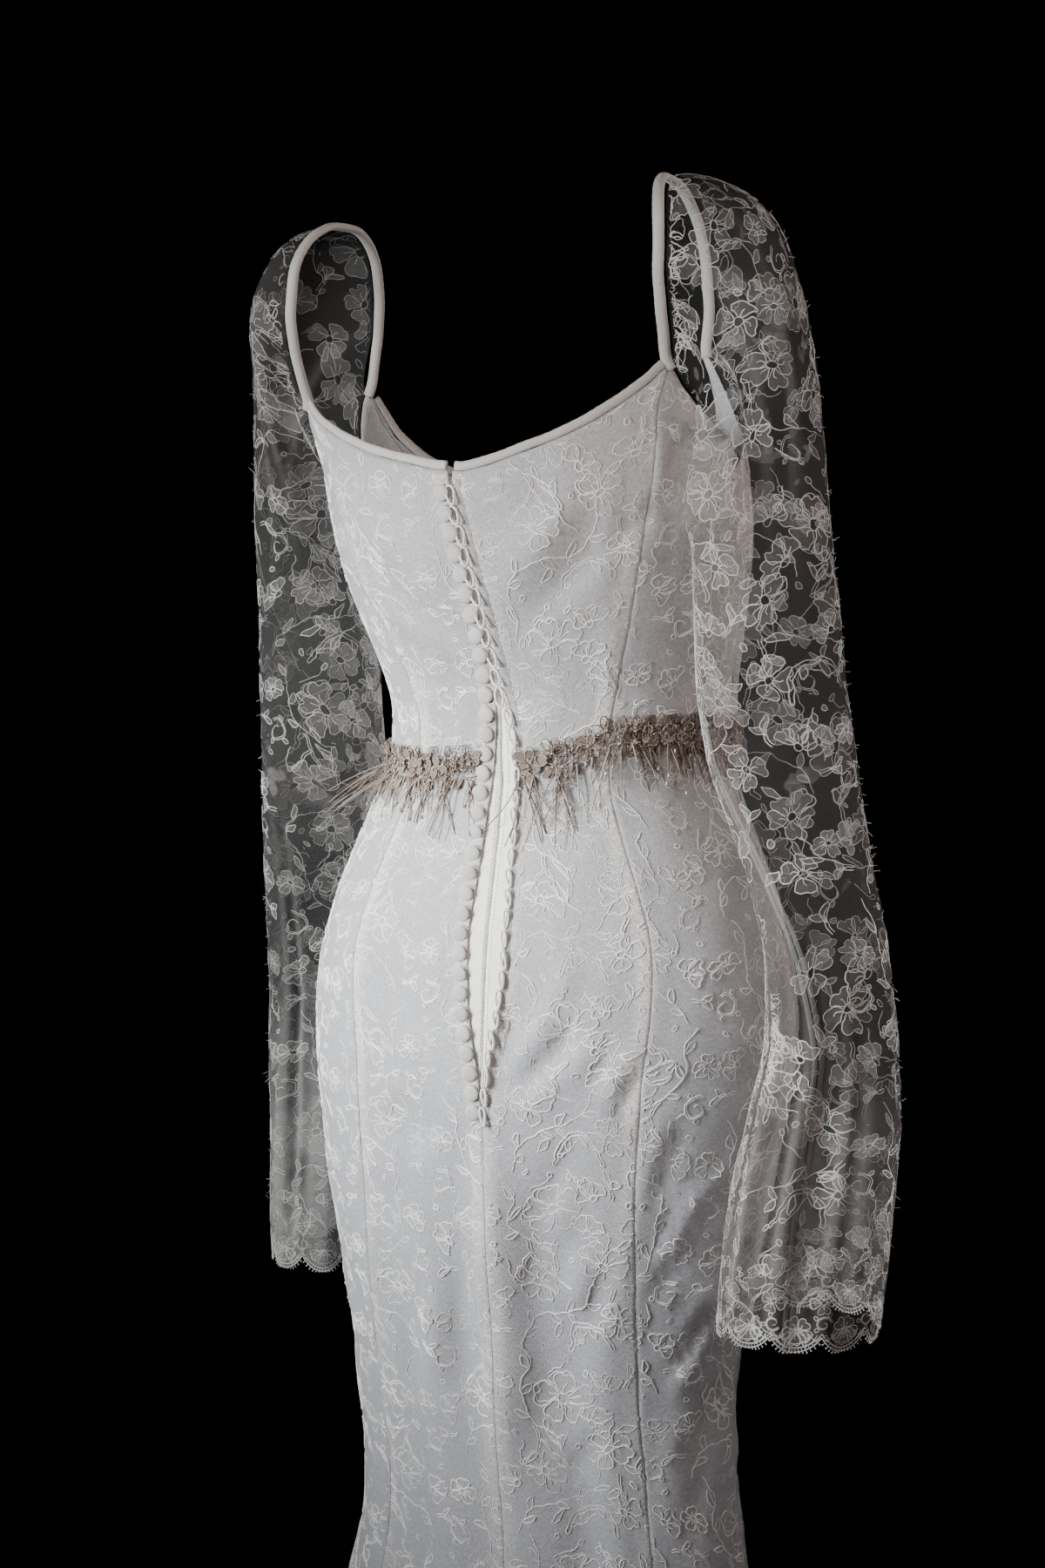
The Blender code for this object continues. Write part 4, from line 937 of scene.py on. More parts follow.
SLEEVE_FOLDS_L = (
    (80, 0.310, -0.030, 44, 0.0105, -0.0022),
    (120, 0.360, 0.040, 40, 0.0090, 0.0018),
    (70, 0.415, -0.050, 44, 0.0100, -0.0024),
    (115, 0.455, -0.020, 40, 0.0085, 0.0020),
    (85, 0.490, 0.030, 46, 0.0085, -0.0028),
    (125, 0.520, -0.040, 42, 0.0080, 0.0024),
    (80, 0.548, -0.010, 50, 0.0080, -0.0032),
    (60, 0.580, 0.050, 42, 0.0085, 0.0024),
    (105, 0.612, -0.030, 44, 0.0090, -0.0026),
    (75, 0.665, -0.060, 42, 0.0110, 0.0020),
    (115, 0.720, 0.050, 40, 0.0115, -0.0020),
    (-60, 0.480, -0.030, 44, 0.0095, -0.0026),
    (-85, 0.530, 0.030, 44, 0.0090, 0.0022),
    (-65, 0.570, -0.020, 46, 0.0090, -0.0028),
    (-50, 0.670, -0.050, 42, 0.0120, -0.0020),
    (155, 0.530, -0.020, 36, 0.0080, -0.0026),
    (30, 0.860, 0.0, 16, 0.1200, 0.0026),
    (75, 0.870, 0.0, 14, 0.1000, -0.0030),
    (120, 0.860, 0.0, 15, 0.1100, 0.0026),
    (165, 0.880, 0.0, 14, 0.1000, -0.0024),
    (-45, 0.870, 0.0, 16, 0.1100, -0.0028),
    (-100, 0.860, 0.0, 15, 0.1200, 0.0026),
    (-145, 0.880, 0.0, 14, 0.1000, -0.0024),
    (80, 0.130, 0.0, 10, 0.0900, 0.0018),
    (50, 0.140, 0.0, 10, 0.0900, -0.0020),
    (-75, 0.130, 0.0, 10, 0.1000, -0.0018),
    # long soft pleats over the forearm
    (40, 0.800, 0.0, 9, 0.200, 0.0040),
    (57, 0.800, 0.0, 8, 0.200, -0.0042),
    (100, 0.850, 0.0, 9, 0.150, 0.0038),
    (116, 0.850, 0.0, 8, 0.150, -0.0038),
)


# ------------------------------------------------------------ the lace design
# millimetres on the flat lace: x across, y up the cloth.  Each element gives
# cord lines and filled shapes; a layout table repeats them with half drops.


def smooth_line(points, closed=False, per=6):
    """A Catmull-Rom line through given points."""
    p = np.asarray(points, float)
    if closed:
        q = np.concatenate([p[-1:], p, p[:2]])
    else:
        q = np.concatenate([2 * p[:1] - p[1:2], p, 2 * p[-1:] - p[-2:-1]])
    t = np.linspace(0, 1, per, endpoint=False)[:, None]
    out = []
    for a, b, c, d in zip(q[:-3], q[1:-2], q[2:-1], q[3:]):
        out.append(0.5 * (2 * b + (c - a) * t + (2 * a - 5 * b + 4 * c - d) * t ** 2
                          + (3 * b - a - 3 * c + d) * t ** 3))
    out = np.concatenate(out)
    return np.concatenate([out, out[:1] if closed else p[-1:]])


def turned(points, angle, at=(0.0, 0.0), size=1.0, flip=False):
    p = np.array(points, float) * size
    if flip:
        p[:, 0] = -p[:, 0]
    c, s = math.cos(math.radians(angle)), math.sin(math.radians(angle))
    return p @ np.array([[c, s], [-s, c]]) + np.array(at)


PETAL_HALF = ((0.00, 0.09), (0.20, 0.26), (0.34, 0.42), (0.52, 0.46), (0.70, 0.55), (0.90, 0.45),
              (1.00, 0.20))
NOTCH = (0.83, 0.0)
LEAF_HALF = ((0.22, 0.17), (0.50, 0.25), (0.78, 0.16))


def petal(long, wide, notch=1.0):
    """Outline of a two-lobed petal that points along +y from the origin."""
    right = [(w * wide, l * long) for l, w in PETAL_HALF]
    tip = [(0.0, (1 - (1 - NOTCH[0]) * notch) * long)]
    left = [(-x, y) for x, y in right[::-1]]
    return smooth_line(right + tip + left, True, 4)


def leaf(long, wide, bend=0.0):
    right = [(0.0, 0.0)] + [(w * wide * 2, l * long) for l, w in LEAF_HALF]
    left = [(0.0, long)] + [(-w * wide * 1.7, l * long) for l, w in LEAF_HALF[::-1]]
    line = smooth_line(right + left, True, 4)
    line[:, 0] += bend * line[:, 1] * (1 - line[:, 1] / long)
    return line


def ribbon(points, wide):
    """Both edges of a twig worked as two cords with a blunt end."""
    line = smooth_line(points, False, 5)
    along = np.gradient(line, axis=0)
    along /= np.linalg.norm(along, axis=1)[:, None]
    side = np.stack([-along[:, 1], along[:, 0]], 1) * wide / 2
    return np.concatenate([line + side, (line - side)[::-1]])


class Motif:
    def __init__(self):
        self.cords, self.fills = [], []
        self.cord_of, self.fill_of, self.parts = [], [], 0

    def add(self, line, fill=False, angle=0.0, at=(0.0, 0.0), size=1.0, flip=False):
        line = turned(line, angle, at, size, flip)
        self.cords.append(line)
        self.cord_of.append(self.parts)
        if fill:
            self.fills.append(line[:-1] if np.allclose(line[0], line[-1]) else line)
            self.fill_of.append(self.parts)
        self.parts += 1
        return self

    def join(self, other, angle=0.0, at=(0.0, 0.0), size=1.0, flip=False):
        self.cords += [turned(c, angle, at, size, flip) for c in other.cords]
        self.fills += [turned(c, angle, at, size, flip) for c in other.fills]
        self.cord_of += [self.parts] * len(other.cords)
        self.fill_of += [self.parts] * len(other.fills)
        self.parts += 1
        return self


def flower(radius, count=5, spread=360.0, start=0.0, squash=1.0, double=0):
    m = Motif()
    step_deg = spread / count
    ring = radius * 0.20
    for k in range(count):
        a = start + step_deg * k
        long = radius * (0.80 + 0.07 * math.sin(2.3 * k + radius))
        wide = radius * (0.88 if count < 5 or spread < 300 else 0.78) * (1 + 0.08 * math.sin(1.9 * k + 1))
        line = petal(long, wide, 1.0 + 0.5 * math.sin(k * 1.7))
        line[:, 1] += ring
        line = turned(line, a + 3 * math.sin(2.9 * k))
        line[:, 1] *= squash
        m.add(line, True)
        if k < double:
            # the edge of a petal behind
            back = petal(long * 1.10, wide * 1.12, 0.6)
            back[:, 1] += ring
            back = turned(back[5:-5], a + 9)
            back[:, 1] *= squash
            m.add(back)
        # a short vein runs into each petal
        v = turned([(0.02 * radius, ring), (-0.05 * radius, ring + long * 0.30),
                    (0.03 * radius, ring + long * 0.48)], a)
        v[:, 1] *= squash
        m.add(v)
    t = np.linspace(0, 2 * math.pi, 13)
    m.add(np.stack([np.cos(t), np.sin(t) * squash], 1) * ring)
    return m


def leaf_pair(stem, long, wide, open_deg=34.0):
    """Two pointed leaves on a short double-corded stem."""
    m = Motif()
    m.add(ribbon([(0.0, 0.0), (0.3, stem * 0.5), (0.0, stem)], 1.9))
    m.add(leaf(long, wide, 0.25), True, open_deg, (0.6, stem))
    m.add(leaf(long * 0.86, wide * 0.9, -0.25), True, -open_deg * 1.2, (-0.6, stem))
    m.add(smooth_line([(0.0, 1.0), (0.3, long * 0.4), (0.0, long * 0.7)], False, 3), False,
          open_deg, (0.6, stem))
    return m


def vine(points, leaves, long=11.0, wide=4.4):
    """A cord that wanders, with leaves at given shares of its length and sides."""
    m = Motif()
    line = smooth_line(points, False, 6)
    m.add(line)
    for share, side in leaves:
        k = int(share * (len(line) - 2))
        d = line[k + 1] - line[k]
        a = math.degrees(math.atan2(-d[0], d[1]))
        m.add(leaf(long * (0.8 + 0.4 * share), wide, 0.2 * side), True, a - side * 42, tuple(line[k]))
    return m


def bud(long=5.0, wide=3.4):
    t = np.linspace(0, 2 * math.pi, 13)
    line = np.stack([np.sin(t) * wide / 2, (1 - np.cos(t)) * long / 2], 1)
    return Motif().add(line, True)


def tendril(reach, curl, end=4.6):
    m = Motif()
    line = smooth_line([(0, 0), (curl * 0.35, reach * 0.35), (curl * 0.9, reach * 0.62),
                        (curl, reach)], False, 5)
    m.add(line)
    direction = math.degrees(math.atan2(-(line[-1, 0] - line[-2, 0]), line[-1, 1] - line[-2, 1]))
    m.join(bud(end, end * 0.72), direction, tuple(line[-1]))
    return m


def y_twig(stem, arms=(34.0, -38.0), reach=12.0, wide=2.0, leaves=True):
    """A forked twig of double cords with a blunt foot."""
    m = Motif()
    fork = (0.0, stem)
    m.add(ribbon([(0.4, 0), (0, stem * 0.5), fork], wide))
    for k, a in enumerate(arms):
        tip = turned([(0.0, reach)], a, fork)[0]
        mid = turned([(0.06 * reach, reach * 0.5)], a, fork)[0]
        m.add(ribbon([fork, mid, tip], wide * 0.85))
        if leaves:
            if k == 0:
                m.add(leaf(15.0, 5.2, 0.25), True, a + 10, tip)
            else:
                m.add(leaf(12.0, 4.2, -0.3), True, a - 14, tip)
                m.add(smooth_line([(0, 1), (0.4, 5), (0, 9)], False, 3), False, a - 14, tip)
    return m


def hook(reach, drop, wide=2.3):
    """A long branch that runs up and hooks over, with leaflets under it."""
    m = Motif()
    line = [(0, 0), (reach * 0.10, reach * 0.26), (reach * 0.36, reach * 0.46),
            (reach * 0.70, reach * 0.44), (reach * 0.93, reach * 0.20), (reach * 1.02, -drop)]
    m.add(ribbon(line, wide))
    m.add(ribbon([(reach * 0.02, reach * 0.05), (-reach * 0.12, -reach * 0.10)], wide))
    m.add(leaf(reach * 0.34, 4.6, 0.2), True, 160, (reach * 0.40, reach * 0.43))
    m.add(leaf(reach * 0.30, 4.2, -0.2), True, 200, (reach * 0.66, reach * 0.42))
    m.add(leaf(reach * 0.26, 3.6, 0.2), True, 30, (reach * 0.34, reach * 0.47))
    return m


def scroll(size):
    t = np.linspace(0.0, 1.0, 26)
    a = 2 * math.pi * 1.15 * t + 0.6
    r = size * (0.22 + 0.78 * t ** 0.8)
    line = np.stack([np.cos(a) * r, np.sin(a) * r], 1)
    m = Motif().add(line)
    m.add(line[8:] * 0.84)
    for k in (12, 17, 22):
        out = math.degrees(math.atan2(line[k, 1], line[k, 0])) - 90
        m.join(bud(4.0, 3.0), out, tuple(line[k]))
    return m


def sprig(long, count=3):
    m = Motif()
    m.add(smooth_line([(0, 0), (long * 0.08, long * 0.5), (0, long)], False, 4))
    for k in range(count):
        y = long * (0.25 + 0.30 * k)
        a = (48 - 6 * k) * (1 if k % 2 else -1)
        m.add(leaf(long * (0.50 - 0.06 * k), 4.0, 0.15), True, a, (long * 0.05, y))
    m.add(leaf(long * 0.45, 4.4), True, 0, (0, long))
    return m


CELL_WIDE, CELL_TALL = 98.0, 124.0


def make_cell():
    m = Motif()
    put = (
        # the wandering stem that joins each repeat to the next
        (vine([(18, -2), (22, 12), (37, 22), (56, 25), (70, 33), (75, 47)],
              ((0.12, 1), (0.26, -1), (0.45, 1), (0.62, -1), (0.80, 1))), 0, (0, 0), 1.0, False),
        (vine([(52, 66), (38, 70), (27, 80), (24, 94), (26, 110), (18, 122)],
              ((0.14, 1), (0.36, -1), (0.56, 1), (0.78, -1)), 10.0, 4.0), 0, (0, 0), 1.0, False),
        (flower(17.0, 5, start=8, double=2), 0, (50, 92), 1.0, False),
        (flower(13.5, 3, 190, -70), -35, (70, 76), 1.0, False),
        (flower(15.0, 5, start=30, squash=0.92, double=1), 0, (82, 58), 1.0, False),
        (leaf_pair(9.0, 15.0, 5.6), 172, (88, 41), 1.0, False),
        (flower(14.5, 5, start=50, squash=0.90), 0, (36, 42), 1.0, False),
        (flower(11.5, 3, 180, -60), 70, (14, 30), 1.0, False),
        (flower(12.5, 4, start=20), 0, (88, 18), 1.0, False),
        (hook(30.0, 7.0), 8, (50, 2), 1.0, False),
        (leaf_pair(10.0, 14.0, 5.2), 14, (52, 50), 1.0, False),
        (y_twig(10.0, (38.0, -34.0), 10.0, 1.9), 186, (34, 72), 0.95, False),
        (scroll(9.0), 20, (9, 66), 1.0, False),
        (flower(12.0, 3, 170, -60), 24, (76, 100), 1.0, False),
        (leaf_pair(7.0, 13.0, 4.8), -22, (88, 100), 1.0, False),
        (flower(10.0, 5, start=0, squash=0.85), 0, (10, 94), 1.0, False),
        (sprig(13.0, 2), -150, (62, 118), 1.0, False),
        (tendril(13, 7, 4.6), -24, (36, 106), 1.0, False),
        (tendril(12, -6, 4.4), 100, (66, 14), 1.0, False),
        (tendril(11, 6, 4.2), 200, (22, 60), 1.0, False),
        (tendril(12, -7, 4.4), 20, (62, 40), 1.0, False),
        (leaf_pair(6.0, 11.0, 4.4), 96, (12, 12), 1.0, False),
        (Motif().add(leaf(13.0, 5.2, -0.2), True), 112, (98, 74), 1.0, False),
        (Motif().add(leaf(12.0, 4.8, 0.2), True), -40, (38, 8), 1.0, False),
        (bud(5.2, 4.0), 20, (98, 34), 1.0, False),
        (bud(4.6, 3.6), -50, (60, 58), 1.0, False),
        (bud(4.6, 3.4), 70, (8, 48), 1.0, False),
        (bud(4.4, 3.4), 10, (34, 120), 1.0, False),
    )
    for piece, angle, at, size, flip in put:
        m.join(piece, angle, at, size, flip)
    return m


def resample(line, spacing):
    seg = np.linalg.norm(np.diff(line, axis=0), axis=1)
    run = np.concatenate([[0.0], np.cumsum(seg)])
    count = max(2, int(round(run[-1] / spacing)) + 1)
    at = np.linspace(0, run[-1], count)
    return np.stack([np.interp(at, run, line[:, k]) for k in (0, 1)], 1)


def lay_out(motif, u0, u1, v0, v1, shift, spacing, fill_spacing, wobble, scale):
    """The cell repeated over a flat region in metres, up the cloth being +v. Cords,
    fills, and for each line the middle of the flower or leaf it belongs to."""
    found = {"cords": ([], []), "fills": ([], [])}
    u0, u1, v0, v1 = u0 / scale, u1 / scale, v0 / scale, v1 / scale
    spacing, fill_spacing = spacing / scale, fill_spacing / scale
    base_cords = [resample(c, spacing) for c in motif.cords]
    base_fills = [resample(np.concatenate([c, c[:1]]), fill_spacing)[:-1] for c in motif.fills]
    middles = {k: np.concatenate([c for c, of in zip(base_cords, motif.cord_of) if of == k]).mean(0)
               for k in set(motif.cord_of)}
    wide, tall = CELL_WIDE / 1000, CELL_TALL / 1000
    k0, k1 = int(math.floor(u0 / wide)) - 1, int(math.ceil(u1 / wide)) + 1
    for k in range(k0, k1 + 1):
        drop = (tall * 0.5 if k % 2 else 0.0) + shift[1]
        r0, r1 = int(math.floor((v0 - drop) / tall)) - 1, int(math.ceil((v1 - drop) / tall)) + 1
        for r in range(r0, r1 + 1):
            origin = np.array([k * wide + shift[0], r * tall + drop])
            flip = k % 2 == 1
            turn = wobble * math.sin(3.1 * k + 1.7 * r)
            c, s = math.cos(turn), math.sin(turn)

            def settle(line):
                p = np.asarray(line) / 1000.0
                if flip:
                    p = np.stack([wide - p[..., 0], p[..., 1]], -1)
                q = p - np.array([wide / 2, tall / 2])
                p = q @ np.array([[c, s], [-s, c]]) + np.array([wide / 2, tall / 2]) + origin
                # the motifs drift
                return p + 0.0030 * np.stack([np.sin(p[..., 1] * 58 + p[..., 0] * 31 + shift[1] * 90),
                                              np.sin(p[..., 0] * 66 - p[..., 1] * 23 + shift[0] * 90)], -1)

            for name, source, of in (("cords", base_cords, motif.cord_of),
                                     ("fills", base_fills, motif.fill_of)):
                for line, part in zip(source, of):
                    p = settle(line)
                    # hand-run cords waver a little
                    p = p + 0.0010 * np.stack([np.sin(p[:, 1] * 230 + p[:, 0] * 90 + 1.0),
                                               np.sin(p[:, 0] * 260 - p[:, 1] * 70)], 1)
                    p = p + 0.00045 * np.stack([np.sin(p[:, 1] * 760 + k + 2 * r),
                                                np.sin(p[:, 0] * 700 + 2 * k + r)], 1)
                    if (p[:, 0].max() > u0 and p[:, 0].min() < u1
                            and p[:, 1].max() > v0 and p[:, 1].min() < v1):
                        found[name][0].append(p * scale)
                        found[name][1].append(settle(middles[part]) * scale)
    return found["cords"][0], found["fills"][0], found["cords"][1], found["fills"][1]


def packed(lines):
    """Lines as one array, with the line number of each point."""
    if not lines:
        return np.zeros((0, 2)), np.zeros(0, int)
    return np.concatenate(lines), np.repeat(np.arange(len(lines)), [len(p) for p in lines])


# ------------------------------------------------------------- mesh builders
def mesh_object(name, points, faces, materials, uv=None, smooth=True, face_material=None):
    """A mesh from arrays; faces is a list of (n, 3) or (n, 4) index arrays."""
    mesh = bpy.data.meshes.new(name)
    faces = [np.asarray(f, np.int32) for f in faces if len(f)]
    points = np.asarray(points, np.float32)
    loops = np.concatenate([f.reshape(-1) for f in faces])
    sizes = np.concatenate([np.full(len(f), f.shape[1], np.int32) for f in faces])
    starts = np.concatenate([[0], np.cumsum(sizes)[:-1]]).astype(np.int32)
    mesh.vertices.add(len(points))
    mesh.vertices.foreach_set("co", points.reshape(-1))
    mesh.loops.add(len(loops))
    mesh.loops.foreach_set("vertex_index", loops)
    mesh.polygons.add(len(sizes))
    mesh.polygons.foreach_set("loop_start", starts)
    mesh.polygons.foreach_set("loop_total", sizes)
    if face_material is not None:
        mesh.polygons.foreach_set("material_index", np.asarray(face_material, np.int32))
    mesh.update(calc_edges=True)
    if uv is not None:
        layer = mesh.uv_layers.new(name="flat")
        layer.data.foreach_set("uv", np.asarray(uv, np.float32)[loops].reshape(-1))
    for m in materials if isinstance(materials, (list, tuple)) else [materials]:
        mesh.materials.append(m)
    if smooth:
        mesh.polygons.foreach_set("use_smooth", np.ones(len(sizes), bool))
    obj = bpy.data.objects.new(name, mesh)
    bpy.context.scene.collection.objects.link(obj)
    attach(obj, "root")
    return obj


def keep_used(points, faces, extra=()):
    used = np.zeros(len(points), bool)
    for f in faces:
        used[np.asarray(f).reshape(-1)] = True
    index = np.cumsum(used) - 1
    return (points[used], [index[np.asarray(f)] for f in faces], [e[used] for e in extra])


def cords_mesh(p, n, line, ok, radius, ring, height=0.62):
    """Cords as tubes of ring sides, or as low tents when ring is 2, from points
    with surface normals; radius may be an array."""
    count = len(p)
    radius = np.broadcast_to(np.asarray(radius, float), (count,))
    before, after = np.arange(count) - 1, np.arange(count) + 1
    before[0], after[-1] = 0, count - 1
    before = np.where(line[before] == line, before, np.arange(count))
    after = np.where(line[after] == line, after, np.arange(count))
    along = p[after] - p[before]
    along /= np.maximum(np.linalg.norm(along, axis=1), 1e-9)[:, None]
    across = np.cross(n, along)
    across /= np.maximum(np.linalg.norm(across, axis=1), 1e-9)[:, None]
    r = radius[:, None]
    if ring == 1:
        rings = [p - across * r + n * 0.0003, p + across * r + n * 0.0003]
        closed = False
    elif ring == 2:
        rings = [p - across * r, p + n * r * height, p + across * r]
        closed = False
    else:
        turn = [2 * math.pi * (k + 0.25) / ring for k in range(ring)]
        rings = [p + across * r * math.cos(t) + n * r * math.sin(t) for t in turn]
        closed = True
    size = len(rings)
    points = np.stack(rings, 1).reshape(-1, 3)
    i = np.arange(count - 1)
    i = i[(line[i] == line[i + 1]) & ok[i] & ok[i + 1]]
    faces = []
    for k in range(size if closed else size - 1):
        k2 = (k + 1) % size
        faces.append(np.stack([i * size + k, i * size + k2, (i + 1) * size + k2,
                               (i + 1) * size + k], 1))
    return points, np.concatenate(faces)


def fills_mesh(outlines, place_points):
    """Filled shapes as fans round their middles, laid on a surface."""
    flat, line = packed(outlines)
    if not len(outlines):
        return None
    counts = np.bincount(line)
    middles = np.stack([np.bincount(line, flat[:, k]) / counts for k in (0, 1)], 1)
    p, n, ok = place_points(flat)
    pm, nm, okm = place_points(middles)
    good = (np.bincount(line, ok) == counts) & okm
    first = np.concatenate([[0], np.cumsum(counts)[:-1]])
    i = np.arange(len(flat))
    nxt = np.where(i + 1 < first[line] + counts[line], i + 1, first[line])
    keep = good[line]
    tri = np.stack([i, nxt, len(flat) + line], 1)[keep]
    points = np.concatenate([p, pm])
    uv = np.concatenate([flat, middles])
    points, faces, (uv,) = keep_used(points, [tri], [uv])
    return points, faces, uv


def tube(path, radius, ring, normal=None, caps=False):
    """A round tube along one path, as points and faces."""
    path = np.asarray(path, float)
    along = np.gradient(path, axis=0)
    along /= np.maximum(np.linalg.norm(along, axis=1), 1e-9)[:, None]
    if normal is None:
        normal = np.tile([0.31, 0.52, 0.79], (len(path), 1))
    normal = np.broadcast_to(np.asarray(normal, float), path.shape)
    across = np.cross(normal, along)
    across /= np.maximum(np.linalg.norm(across, axis=1), 1e-9)[:, None]
    up = np.cross(along, across)
    r = np.broadcast_to(np.asarray(radius, float), (len(path),))[:, None]
    rings = [path + across * r * math.cos(t) + up * r * math.sin(t)
             for t in (2 * math.pi * k / ring for k in range(ring))]
    points = np.stack(rings, 1).reshape(-1, 3)
    i = np.arange(len(path) - 1)
    faces = [np.stack([i * ring + k, i * ring + (k + 1) % ring, (i + 1) * ring + (k + 1) % ring,
                       (i + 1) * ring + k], 1) for k in range(ring)]
    return points, np.concatenate(faces)


class Bundle:
    """Many small shapes gathered into one mesh."""

    def __init__(self):
        self.points, self.faces, self.marks, self.count = [], {3: [], 4: []}, {3: [], 4: []}, 0

    def add(self, points, faces, mark=0):
        for f in faces if isinstance(faces, (list, tuple)) else [faces]:
            f = np.asarray(f)
            if len(f):
                self.faces[f.shape[1]].append(f + self.count)
                self.marks[f.shape[1]].append(np.full(len(f), mark))
        self.points.append(np.asarray(points, float))
        self.count += len(points)

    def build(self, name, materials, smooth=True):
        faces, marks = [], []
        for k in (3, 4):
            if self.faces[k]:
                faces.append(np.concatenate(self.faces[k]))
                marks.append(np.concatenate(self.marks[k]))
        return mesh_object(name, np.concatenate(self.points), faces, materials, smooth=smooth,
                           face_material=np.concatenate(marks))


def grid_quads(rows, cols, closed=False):
    i, j = np.meshgrid(np.arange(rows - 1), np.arange(cols if closed else cols - 1), indexing="ij")
    k = (j + 1) % cols
    return np.stack([i * cols + j, i * cols + k, (i + 1) * cols + k, (i + 1) * cols + j],
                    -1).reshape(-1, 4)


SPHERE_6 = None


def ball(radius, around=6, levels=4):
    """A small faceted bead."""
    pts = [(0, 0, 1.0)]
    for k in range(1, levels):
        t = math.pi * k / levels
        for j in range(around):
            a = 2 * math.pi * j / around
            pts.append((math.sin(t) * math.cos(a), math.sin(t) * math.sin(a), math.cos(t)))
    pts.append((0, 0, -1.0))
    tri, quad = [], []
    for j in range(around):
        tri.append((0, 1 + j, 1 + (j + 1) % around))
        last = 1 + (levels - 2) * around
        tri.append((len(pts) - 1, last + (j + 1) % around, last + j))
    for k in range(levels - 2):
        for j in range(around):
            a, b = 1 + k * around + j, 1 + k * around + (j + 1) % around
            quad.append((a, a + around, b + around, b))
    return np.array(pts) * radius, np.array(tri), np.array(quad)



# ------------------------------------------------------------------ materials
def new_material(name):
    m = bpy.data.materials.new(name)
    m.use_nodes = True
    nodes, links = m.node_tree.nodes, m.node_tree.links
    return m, nodes, links, nodes["Principled BSDF"]


def math_node(nodes, links, operation, a, b=None, c=None, clamp=False):
    n = nodes.new("ShaderNodeMath")
    n.operation = operation
    n.use_clamp = clamp
    for k, v in enumerate((a, b, c)):
        if v is None:
            continue
        if isinstance(v, (int, float)):
            n.inputs[k].default_value = v
        else:
            links.new(v, n.inputs[k])
    return n.outputs[0]


def mix_colour(nodes, links, factor, a, b, mode="MIX"):
    n = nodes.new("ShaderNodeMix")
    n.data_type = "RGBA"
    n.blend_type = mode
    for socket, v in ((n.inputs[0], factor), (n.inputs[6], a), (n.inputs[7], b)):
        if isinstance(v, (int, float)):
            socket.default_value = v
        elif isinstance(v, tuple):
            socket.default_value = (*v, 1.0)
        else:
            links.new(v, socket)
    return n.outputs[2]


def ramp(nodes, links, value, low, high, out_low=0.0, out_high=1.0):
    n = nodes.new("ShaderNodeMapRange")
    n.interpolation_type = "SMOOTHSTEP"
    for k, v in enumerate((value, low, high, out_low, out_high)):
        if isinstance(v, (int, float)):
            n.inputs[k].default_value = v
        else:
            links.new(v, n.inputs[k])
    return n.outputs[0]


def noise(nodes, links, vector, scale, detail=3.0, rough=0.55):
    n = nodes.new("ShaderNodeTexNoise")
    n.inputs["Scale"].default_value = scale
    n.inputs["Detail"].default_value = detail
    n.inputs["Roughness"].default_value = rough
    links.new(vector, n.inputs["Vector"])
    return n.outputs["Fac"]


def flat_xy(nodes, links, wobble=0.0):
    """The cloth's own flat coordinates in metres, as x and y."""
    uv = nodes.new("ShaderNodeUVMap")
    uv.uv_map = "flat"
    sep = nodes.new("ShaderNodeSeparateXYZ")
    links.new(uv.outputs[0], sep.inputs[0])
    x, y = sep.outputs[0], sep.outputs[1]
    if wobble:
        for k in (0, 1):
            w = noise(nodes, links, uv.outputs[0], 60.0 + 25 * k, 2.0)
            w = math_node(nodes, links, "MULTIPLY_ADD", w, wobble, -wobble / 2)
            if k == 0:
                x = math_node(nodes, links, "ADD", x, w)
            else:
                y = math_node(nodes, links, "ADD", y, w)
    return uv.outputs[0], x, y


def hex_lines(nodes, links, x, y, cell, width):
    """1 on the threads of a hexagonal net and 0 in its holes; cell in metres."""
    def cell_part(v, period, shift):
        v = math_node(nodes, links, "ADD", v, shift)
        v = math_node(nodes, links, "DIVIDE", v, period)
        v = math_node(nodes, links, "FLOORED_MODULO", v, 1.0)
        v = math_node(nodes, links, "SUBTRACT", v, 0.5)
        return math_node(nodes, links, "MULTIPLY", v, period / cell)
    tall = cell * math.sqrt(3.0)
    pairs = []
    for shift in (0.0, 0.5):
        px = cell_part(x, cell, shift * cell)
        py = cell_part(y, tall, shift * tall)
        ax = math_node(nodes, links, "ABSOLUTE", px)
        ay = math_node(nodes, links, "ABSOLUTE", py)
        slope = math_node(nodes, links, "MULTIPLY", ay, math.sqrt(3.0) / 2)
        slope = math_node(nodes, links, "MULTIPLY_ADD", ax, 0.5, slope)
        pairs.append(math_node(nodes, links, "MAXIMUM", ax, slope))
    near = math_node(nodes, links, "MINIMUM", pairs[0], pairs[1])
    return ramp(nodes, links, near, 0.5 - width, 0.5 - width * 0.45)


